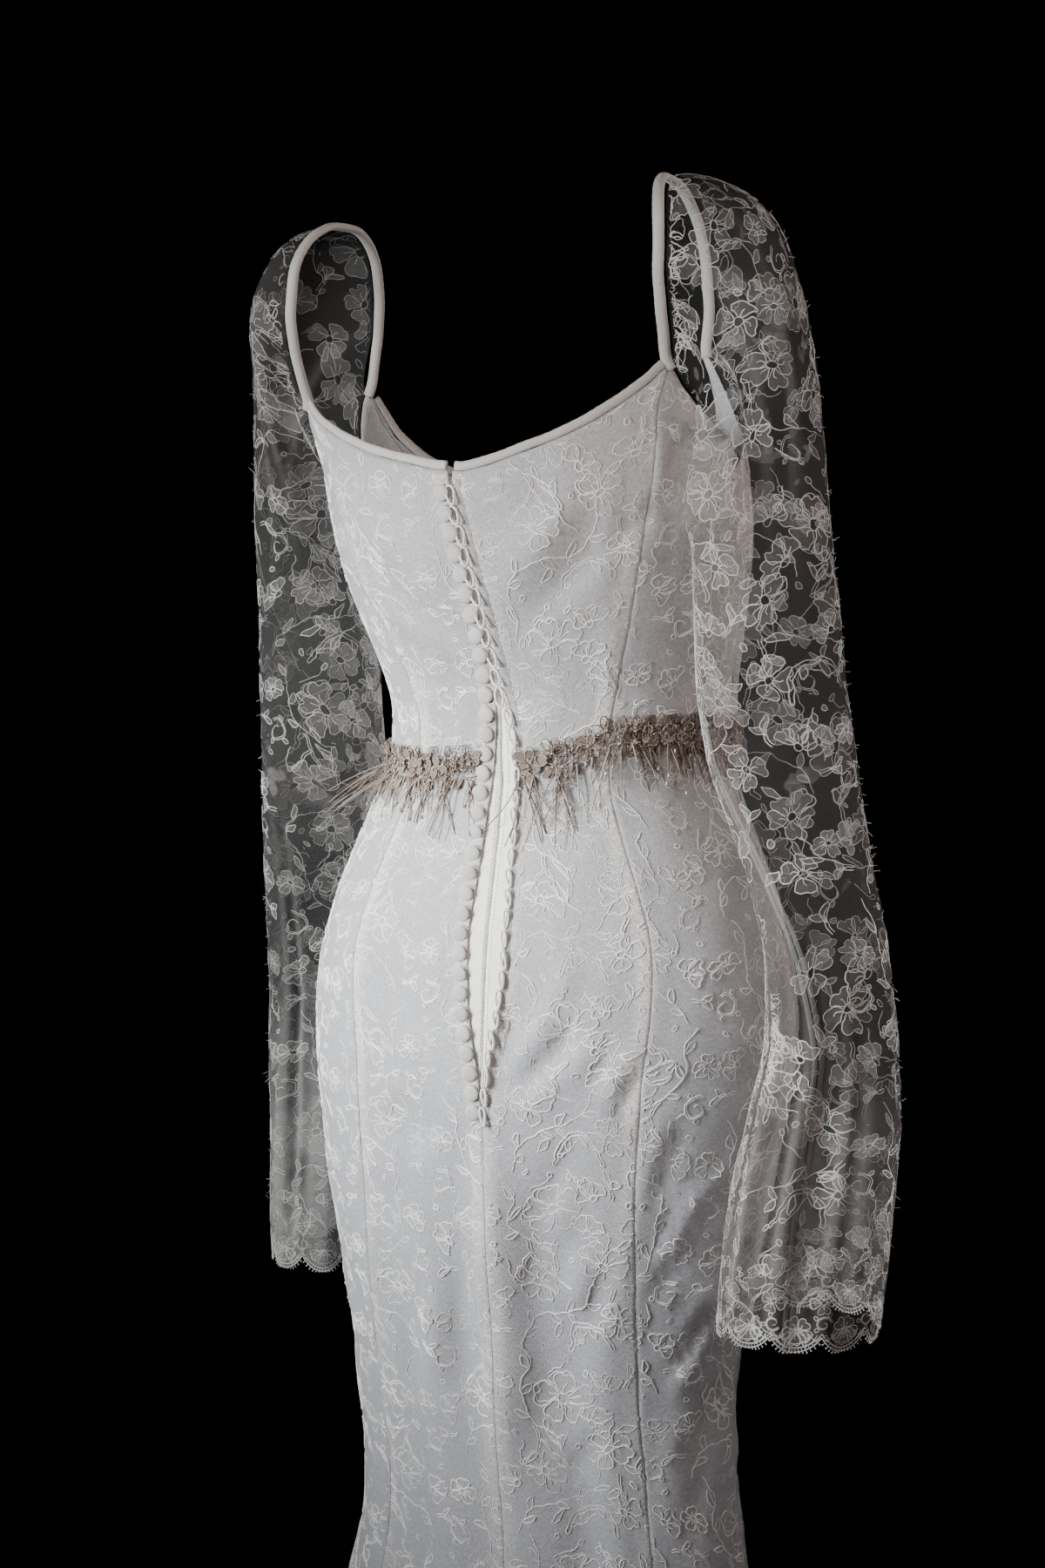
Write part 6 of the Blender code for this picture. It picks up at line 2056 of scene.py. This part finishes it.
# ------------------------------------------------------------- the back opening
def placket(tag, left, right):
    z = np.concatenate([np.linspace(0.2035, CLOSURE_END, 150)])
    cols = 9
    u = np.linspace(0, 1, cols)
    radius = half(z)
    a0, a1 = left(z), right(z)
    angle = a0[:, None] + (a1 - a0)[:, None] * u[None]
    zz = np.repeat(z[:, None], cols, 1)
    under = -0.00115
    edge = np.abs(u[None] - 0.5) * 2
    x = angle * radius[:, None]
    rise = (0.00022 * np.sin(zz * 260 + x * 300) + 0.00018 * np.sin(zz * 610 + 2 * np.sin(x * 200))
            - 0.00025 * edge ** 6)
    points = place(cloth(angle, zz, under + rise))
    uv = np.stack([(angle - a0[:, None]) * radius[:, None], zz], -1).reshape(-1, 2)
    obj = mesh_object("placket_%s_cloth" % tag, points.reshape(-1, 3), [grid_quads(len(z), cols)],
                      PLACKET_M, uv=uv)
    n = np.cross(points[60, 4 + 1] - points[60, 4], points[61, 4] - points[60, 4])
    if n[1] < 0:
        obj.data.flip_normals()
    wall = obj.modifiers.new("wall", "SOLIDIFY")
    wall.thickness = 0.0010
    wall.offset = -1.0
    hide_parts("placket_" + tag)
    # two rows of machine stitching
    b = Bundle()
    for line, off in ((a0, 0.0022), (a1, -0.0022)):
        zs = np.arange(0.190, CLOSURE_END + 0.01, -0.0030)
        for k, zk in enumerate(zs):
            rr = float(half(zk))
            aa = float(np.interp(-zk, -z, line)) + off / rr
            p = place(cloth(np.array([aa, aa, aa]), np.array([zk, zk - 0.001, zk - 0.0021]),
                            under + np.array([0.0, 0.0003, 0.0])))
            b.add(*tube(p, 0.00020, 3))
    stitches = b.build("placket_%s_stitching" % tag, STITCH_M)
    return obj


placket("L", lambda z: open_left(z) - 0.011 / half(z), lambda z: open_middle(z) - g / half(z))
placket("R", lambda z: open_middle(z) + g / half(z), lambda z: open_right(z) + 0.011 / half(z))

# the narrow tape that carries the loops
z = np.linspace(0.2015, CLOSURE_END + 0.001, 160)
radius = half(z)
section_x = np.array([0.0002, 0.0007, 0.0018, 0.0030, 0.0042, 0.0050])
section_out = np.array([0.0001, 0.0006, 0.0009, 0.0008, 0.0005, 0.0001])
tape = np.stack([skin(open_right(z) + (x + 0.00015 * np.sin(z * 700)) / radius, z,
                      o + 0.00012 * np.sin(z * 900 + 7 * o * 1000))
                 for x, o in zip(section_x, section_out)], 1)
tape_uv = np.stack([np.broadcast_to(section_x[None] * 1.3, tape.shape[:2]),
                    np.repeat(z[:, None], 6, 1)], -1)
tape_obj = mesh_object("loop_tape", tape.reshape(-1, 3), [grid_quads(len(z), 6)], SATIN_M,
                       uv=tape_uv.reshape(-1, 2))
if np.cross(tape[50, 3] - tape[50, 2], tape[51, 2] - tape[50, 2])[1] < 0:
    tape_obj.data.flip_normals()
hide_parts("loop_strip")


def frame_at(angle, z, out):
    p = skin(angle, z, out)
    away = place(cloth(angle, z, 0.02)) - place(cloth(angle, z))
    away /= np.linalg.norm(away)
    up = np.array([0.0, 0.0, 1.0]) - away * away[2]
    up /= np.linalg.norm(up)
    return p, np.cross(up, away), up, away      # across is towards the wearer's right


# the loops: slim ovals of round cord that lean towards the buttons
loops = Bundle()
for k in range(BUTTONS):
    zk = BUTTON_TOP - BUTTON_PITCH * k - 0.002
    open_here = float(step(0.045, 0.005, zk))
    edge = float(open_right(zk))
    rr = float(half(zk))
    over = 0.0022 * (1 - open_here) - 0.0010 * open_here + 0.0004 * math.sin(2.1 * k)
    p, across, up, away = frame_at(edge - over / rr, zk, 0.0016)
    lean = math.radians(20 + 7 * math.sin(1.7 * k) - 14 * open_here)
    tall = 0.0072 - 0.0007 * open_here + 0.0005 * math.sin(3.3 * k)
    wide = 0.0032 - 0.0014 * open_here
    t = np.linspace(0, 2 * math.pi, 19)
    sx, sy = np.sin(t) * wide * (1 + 0.25 * np.cos(t)), np.cos(t) * tall
    x = sx * math.cos(lean) + sy * math.sin(lean)
    y = -sx * math.sin(lean) + sy * math.cos(lean)
    lift = 0.0009 * (1 - np.cos(t)) * (1 - 0.5 * open_here) + 0.0004 * np.sin(2 * t + k)
    path = p - across * x[:, None] + up * y[:, None] + away * lift[:, None]
    loops.add(*tube(path, 0.00098, 7, away))
loops_obj = loops.build("fabric_loops", LOOP_M)

# the covered buttons
buttons = Bundle()
LEVELS = ((0.00, -0.30), (0.55, -0.26), (0.93, -0.10), (1.00, 0.16), (0.965, 0.42), (0.86, 0.66),
          (0.68, 0.84), (0.45, 0.945), (0.22, 0.99))
for k in range(BUTTONS):
    zk = BUTTON_TOP - BUTTON_PITCH * k
    angle = float(open_left(zk)) - BUTTON_INSET / float(half(zk))
    p, across, up, away = frame_at(angle, zk, 0.0002)
    nod = 0.13 + 0.05 * math.sin(2.7 * k)
    roll = 0.07 * math.sin(1.9 * k + 0.5)
    pts = []
    count = 22
    for r, h in LEVELS[1:]:
        for j in range(count):
            a = 2 * math.pi * j / count
            gather = 1 + 0.012 * math.sin(7 * a + k) * (r > 0.8) + 0.006 * math.sin(3 * a + 2 * k)
            x, y = 1.09 * r * math.cos(a) * gather, 1.09 * r * math.sin(a) * gather
            rise = (0.20 + 0.40 * h if h >= 0 else 0.20 + 0.20 * h) * BUTTON_RISE
            rise += (nod * y + roll * x) * BUTTON_RADIUS * (1 if h > 0 else 0.4)
            pts.append(p + across * x * BUTTON_RADIUS + up * y * BUTTON_RADIUS + away * rise)
    pts.append(p + away * (BUTTON_RISE * 0.602))
    quads, tris = [], []
    rings = len(LEVELS) - 1
    for i in range(rings - 1):
        for j in range(count):
            quads.append((i * count + j, i * count + (j + 1) % count,
                          (i + 1) * count + (j + 1) % count, (i + 1) * count + j))
    for j in range(count):
        tris.append(((rings - 1) * count + j, (rings - 1) * count + (j + 1) % count, len(pts) - 1))
    buttons.add(np.array(pts), [np.array(quads), np.array(tris)])
buttons_obj = buttons.build("covered_buttons", BUTTON_M)
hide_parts(*["button_%02d" % (k + 1) for k in range(BUTTONS)])


# -------------------------------------------------------------- the waist trim
def on_waist(angle, z, out):
    return skin(np.asarray(angle, float), np.asarray(z, float), np.asarray(out, float))


def petal_loop(bundle, angle, z, out, long, wide, turn, radius, mark, tip_lift, fill=3):
    """One looped petal of thread over the cloth, pointing along turn (0 is up)."""
    t = np.linspace(0, 1, 10)
    a = 2 * math.pi * t
    y = long * (0.5 - 0.5 * np.cos(a))
    x = wide * 0.5 * np.sin(a) * (0.75 + 0.45 * (y / long))
    c, s = math.cos(turn), math.sin(turn)
    px, py = x * c + y * s, y * c - x * s
    rr = float(half(z))
    lift = out + tip_lift * (y / long) ** 1.5
    # +px is towards the wearer's right
    path = on_waist(angle + px / rr, z + py, lift)
    bundle.add(*tube(path, radius, 3), mark)
    if fill is not None:
        pts = np.concatenate([path[:-1] - (path[:-1] - path.mean(0)) * 0.08, path.mean(0)[None]])
        n = len(path) - 1
        tri = np.stack([np.arange(n), (np.arange(n) + 1) % n, np.full(n, n)], 1)
        bundle.add(pts, tri, fill)


def beads(bundle, angle, z, out, size, spread_m, count, mark, local):
    rr = float(half(z))
    a = angle + local.normal(0, spread_m, count) / rr
    q = on_waist(a, z + local.normal(0, spread_m, count), out + 0.0006 * local.uniform(0, 1, count))
    for k in range(count):
        pts, tri, quad = ball(size * local.uniform(0.8, 1.25), 5, 3)
        bundle.add(pts + q[k], [tri, quad], mark)


def thread_flower(bundle, angle, z, size, out, spin, count, mark, local, fill):
    for k in range(count):
        turn = spin + 2 * math.pi * k / count + local.normal(0, 0.16)
        long = size * (0.50 + 0.10 * local.uniform(-1, 1))
        petal_loop(bundle, angle, z, out, long, long * 0.66, turn, 0.00060, mark,
                   0.0022 * local.uniform(0.1, 1.6), fill)
    beads(bundle, angle, z, out + 0.0010, 0.0008, 0.0009, 4, 2, local)


def thread(bundle, p0, direction, length, curl, radius, mark, local, bead=0.0):
    """A free thread end that leaves the braid."""
    t = np.linspace(0, 1, 7)[:, None]
    side = local.normal(0, 1, 3)
    path = (p0 + direction * length * t + side * curl * t * (1 - 0.4 * t)
            + np.array([0, 0, -1.0]) * length * 0.16 * t * t)
    bundle.add(*tube(path, radius * (1 - 0.35 * t[:, 0]), 3), mark)
    if bead:
        k = -1 if local.uniform() < 0.6 else 4
        pts, tri, quad = ball(bead, 5, 3)
        bundle.add(pts * np.array([1, 1, 1.6]) + path[k], [tri, quad], 2)


def waist_trim(tag, start, stop):
    sign = 1 if stop > start else -1
    local = np.random.RandomState(21 if tag == "L" else 22)
    b, f = Bundle(), Bundle()
    angle = start + sign * 0.008
    while sign * (stop - angle) > 0.012:
        low, high = float(braid_low(angle)), float(braid_high(angle))
        rr = float(half((low + high) / 2))
        turn = abs(angle)
        # separate open flowers from the opening to the right princess seam, dense
        # and dark beyond it, dense and pale on the left
        apart = tag == "R" and turn < 0.54
        tone = 1 if tag == "L" or turn < 0.45 else 0
        mid = (low + high) / 2 + 0.003
        if apart:
            thread_flower(b, angle, mid + local.normal(0, 0.0014), 0.0215, 0.0018,
                          local.uniform(0, 6.3), 5, 0 if local.uniform() < 0.85 else 1, local,
                          3 if local.uniform() < 0.35 else None)
        else:
            thread_flower(b, angle, mid + local.normal(0, 0.0022), 0.0150 + 0.002 * local.uniform(-1, 1),
                          0.0016 + 0.0012 * local.uniform(), local.uniform(0, 6.3), 5,
                          tone if local.uniform() < 0.6 else 1 - tone, local,
                          3 if local.uniform() < 0.45 else None)
            for _ in range(3):
                za = local.uniform(low + 0.001, high - 0.003)
                aa = angle + local.uniform(-0.5, 0.5) * 0.012 / rr
                petal_loop(b, aa, za, 0.0020 + 0.0016 * local.uniform(), 0.0068 + 0.0030 * local.uniform(),
                           0.0042 + 0.0016 * local.uniform(), local.normal(0, 0.9), 0.00048,
                           tone if local.uniform() < 0.5 else 1 - tone, 0.0026 * local.uniform(),
                           3 if local.uniform() < 0.4 else None)
        # upright loops along the top and hanging ones below
        for _ in range(1 if apart else 2):
            if local.uniform() < 0.8:
                petal_loop(b, angle + local.uniform(-0.5, 0.5) * 0.009 / rr, high - 0.0040, 0.0012,
                           0.0085, 0.0054, local.normal(0, 0.40), 0.00046,
                           0 if local.uniform() < 0.55 else tone, 0.0018, None)
        petal_loop(b, angle + local.uniform(-0.5, 0.5) * 0.008 / rr, low + 0.004, 0.0018, 0.0095, 0.0046,
                   math.pi + local.normal(0, 0.45), 0.00046, tone, 0.0018, 3)
        beads(b, angle, (low + mid) / 2, 0.0028, 0.00075, 0.0040, 5 if not apart else 3, 2, local)
        beads(b, angle, low + 0.002, 0.0026, 0.0007, 0.0034, 3, 1, local)
        # wandering threads that tie the flowers together
        for _ in range(2 if apart else 3):
            t = np.linspace(0, 1, 6)
            aa = angle + (np.linspace(-0.008, 0.008, 6) + 0.002 * np.sin(6 * t + local.uniform(0, 6))) / rr
            za = local.uniform(low, high - 0.004) + 0.0030 * np.sin(5 * t + local.uniform(0, 6))
            b.add(*tube(on_waist(aa, za, 0.0018 + 0.0016 * np.sin(math.pi * t)), 0.00042, 3),
                  1 if local.uniform() < 0.4 else 0)

        # the fringe: tassels of a few threads each
        foot = float(fringe_foot(angle))
        for _ in range(3 if not apart else 2):
            a0 = angle + local.uniform(-0.6, 0.6) * 0.009 / rr
            z0 = low + local.uniform(0.000, 0.006)
            root = on_waist(a0, z0, 0.0030)
            ahead = on_waist(a0 + 0.02, z0, 0.0030) - root
            ahead /= np.linalg.norm(ahead)
            away = place(cloth(a0, z0, 0.02)) - place(cloth(a0, z0))
            away /= np.linalg.norm(away)
            reach = (z0 - foot)
            if tag == "L":
                slant = -0.30 - 0.55 * step(0.25, 1.0, turn) + local.normal(0, 0.22)
                lean = 0.10 + 0.35 * step(0.5, 1.1, turn) * local.uniform(0.4, 1)
            elif apart:
                slant, lean = local.normal(0.02, 0.16), 0.08
            else:
                slant, lean = 0.42 + local.normal(0, 0.20), 0.12
            direction = ahead * slant - np.array([0, 0, 1.0]) + away * lean
            direction /= np.linalg.norm(direction)
            for _ in range(local.randint(1, 4)):
                d = direction + ahead * local.normal(0, 0.34) + away * local.normal(0.04, 0.10)
                d /= np.linalg.norm(d)
                mark = local.choice([0, 1, 1]) if tag == "L" else local.choice([0, 0, 0, 1])
                thread(f, root + ahead * local.normal(0, 0.0012), d,
                       reach * local.uniform(0.25, 1.0) * (0.84 if tag == "R" and not apart else 1.0),
                       0.0050 * local.uniform(-1, 1), 0.00072, mark, local,
                       0.0011 if local.uniform() < 0.30 else 0.0)
        if apart and local.uniform() < 0.6:
            # small clusters of bugle beads on hanging stems
            z0 = low - local.uniform(0.006, 0.020)
            for _ in range(7):
                turn_b = local.uniform(0, 6.3)
                p0 = on_waist(angle + local.normal(0, 0.0022) / rr, z0 + local.normal(0, 0.003), 0.0024)
                p1 = p0 + np.array([0.003 * math.sin(turn_b), 0.0006, 0.003 * math.cos(turn_b)])
                f.add(*tube([p0, (p0 + p1) / 2, p1], 0.00060, 4), 2 if local.uniform() < 0.6 else 0)
        angle += sign * (0.0098 if not apart else 0.0135) * (1 + 0.1 * local.uniform(-1, 1)) / rr

    if tag == "L":
        # a sheaf of long threads that stands off the side of the waist
        for k in range(13):
            a0 = -0.80 - 0.030 * k + local.normal(0, 0.02)
            root = on_waist(a0, local.uniform(-0.020, -0.006), 0.0034)
            d = np.array([0.86, 0.30, -0.50]) + local.normal(0, 0.09, 3)
            d /= np.linalg.norm(d)
            thread(f, root, d, local.uniform(0.030, 0.050), 0.004 * local.uniform(-1, 1), 0.00055,
                   local.choice([1, 1, 0]), local, 0.0)
    else:
        # two loose brown threads lie over the placket
        for a0, z0, da, dz in ((0.070, -0.014, -0.090, -0.036), (0.085, -0.022, -0.030, -0.040)):
            t = np.linspace(0, 1, 10)
            path = on_waist(a0 + da * t + 0.012 * np.sin(4 * t), z0 + dz * t, 0.0032 + 0.0015 * np.sin(3 * t))
            f.add(*tube(path, 0.00050, 3), 0)
    braid = b.build("waist_braid_%s_flowers" % tag, [TAUPE_M, PALE_TAUPE_M, BEAD_M, TAUPE_NET_M])
    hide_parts("waist_braid_" + tag)
    fringe = f.build("fringe_%s_threads" % tag, [TAUPE_M, PALE_TAUPE_M, BEAD_M])
    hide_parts("fringe_" + tag)


TAUPE_NET_M = thread_material("taupe_petal_net", (0.215, 0.170, 0.140), (0.120, 0.090, 0.070), 0.7, 1400.0)
waist_trim("L", -0.150, -math.pi + 0.004)
waist_trim("R", 0.100, math.pi - 0.004)



# --------------------------------------------------------- stage and light
floor_mesh = bpy.data.meshes.new("floor")
ring = [(0.80 * math.cos(2 * math.pi * k / 64), 0.80 * math.sin(2 * math.pi * k / 64) - 0.09, -1.4505)
        for k in range(64)]
floor_mesh.from_pydata(ring, [], [tuple(range(64))])
floor = bpy.data.objects.new("floor", floor_mesh)
bpy.context.scene.collection.objects.link(floor)
floor_m, nodes, links, bsdf = new_material("pale_floor")
coords = nodes.new("ShaderNodeTexCoord")
floor_noise = noise(nodes, links, coords.outputs["Object"], 3.0, 3.0)
links.new(mix_colour(nodes, links, floor_noise, (0.62, 0.61, 0.60), (0.68, 0.67, 0.66)),
          bsdf.inputs["Base Color"])
bsdf.inputs["Roughness"].default_value = 0.7
floor_mesh.materials.append(floor_m)

world = bpy.data.worlds.new("dark_studio")
bpy.context.scene.world = world
world.use_nodes = True
world.node_tree.nodes["Background"].inputs[0].default_value = (0.002, 0.002, 0.002, 1.0)
world.node_tree.nodes["Background"].inputs[1].default_value = 0.10


def area_light(name, turn, away, height, aim, size, spread, power, colour):
    """A soft box at an angle round the dress, counted from +X."""
    data = bpy.data.lights.new(name, "AREA")
    data.shape = "RECTANGLE"
    data.size, data.size_y = size
    data.energy = power
    data.color = colour
    data.spread = math.radians(spread)
    obj = bpy.data.objects.new(name, data)
    at = Vector((away * math.cos(math.radians(turn)), away * math.sin(math.radians(turn)), height))
    obj.location = at
    obj.rotation_euler = (Vector((0, 0, aim)) - at).to_track_quat("-Z", "Y").to_euler()
    bpy.context.scene.collection.objects.link(obj)
    return obj


area_light("key", 50, 2.0, -0.44, -0.44, (0.8, 0.38), 46, 5.3, (0.96, 0.99, 1.0))
area_light("hips", 50, 2.0, 0.75, -0.57, (0.3, 0.2), 18, 0.95, (0.97, 1.0, 1.0))
area_light("left", 30, 2.0, -0.45, -0.46, (0.6, 0.4), 48, 1.1, (1.0, 0.95, 0.92))
area_light("fill", 165, 2.4, -0.1, -0.45, (1.2, 1.4), 180, 5.6, (0.95, 0.96, 0.95))
area_light("shoulder", 165, 2.0, 0.30, -0.16, (0.7, 0.4), 60, 2.4, (1.0, 0.80, 0.75))
area_light("centre", 90, 2.2, 0.35, -0.16, (0.7, 0.4), 40, 0.78, (1.0, 0.93, 0.87))
area_light("front", -84, 2.4, 0.1, -0.5, (1.6, 1.8), 180, 18.0, (1.0, 0.97, 0.94))

camera_data = bpy.data.cameras.new("camera")
camera_data.lens = 52.14
camera_data.sensor_width = 36.0
camera = bpy.data.objects.new("camera", camera_data)
theta, pitch = math.radians(26.0), math.radians(3.95)
back_v = Vector((-math.sin(theta), math.cos(theta), 0.0))
forward = -back_v * math.cos(pitch) - Vector((0, 0, 1)) * math.sin(pitch)
camera.location = (-0.7384, 1.4919, -0.303)
camera.rotation_euler = forward.to_track_quat("-Z", "Y").to_euler()
bpy.context.scene.collection.objects.link(camera)
bpy.context.scene.camera = camera
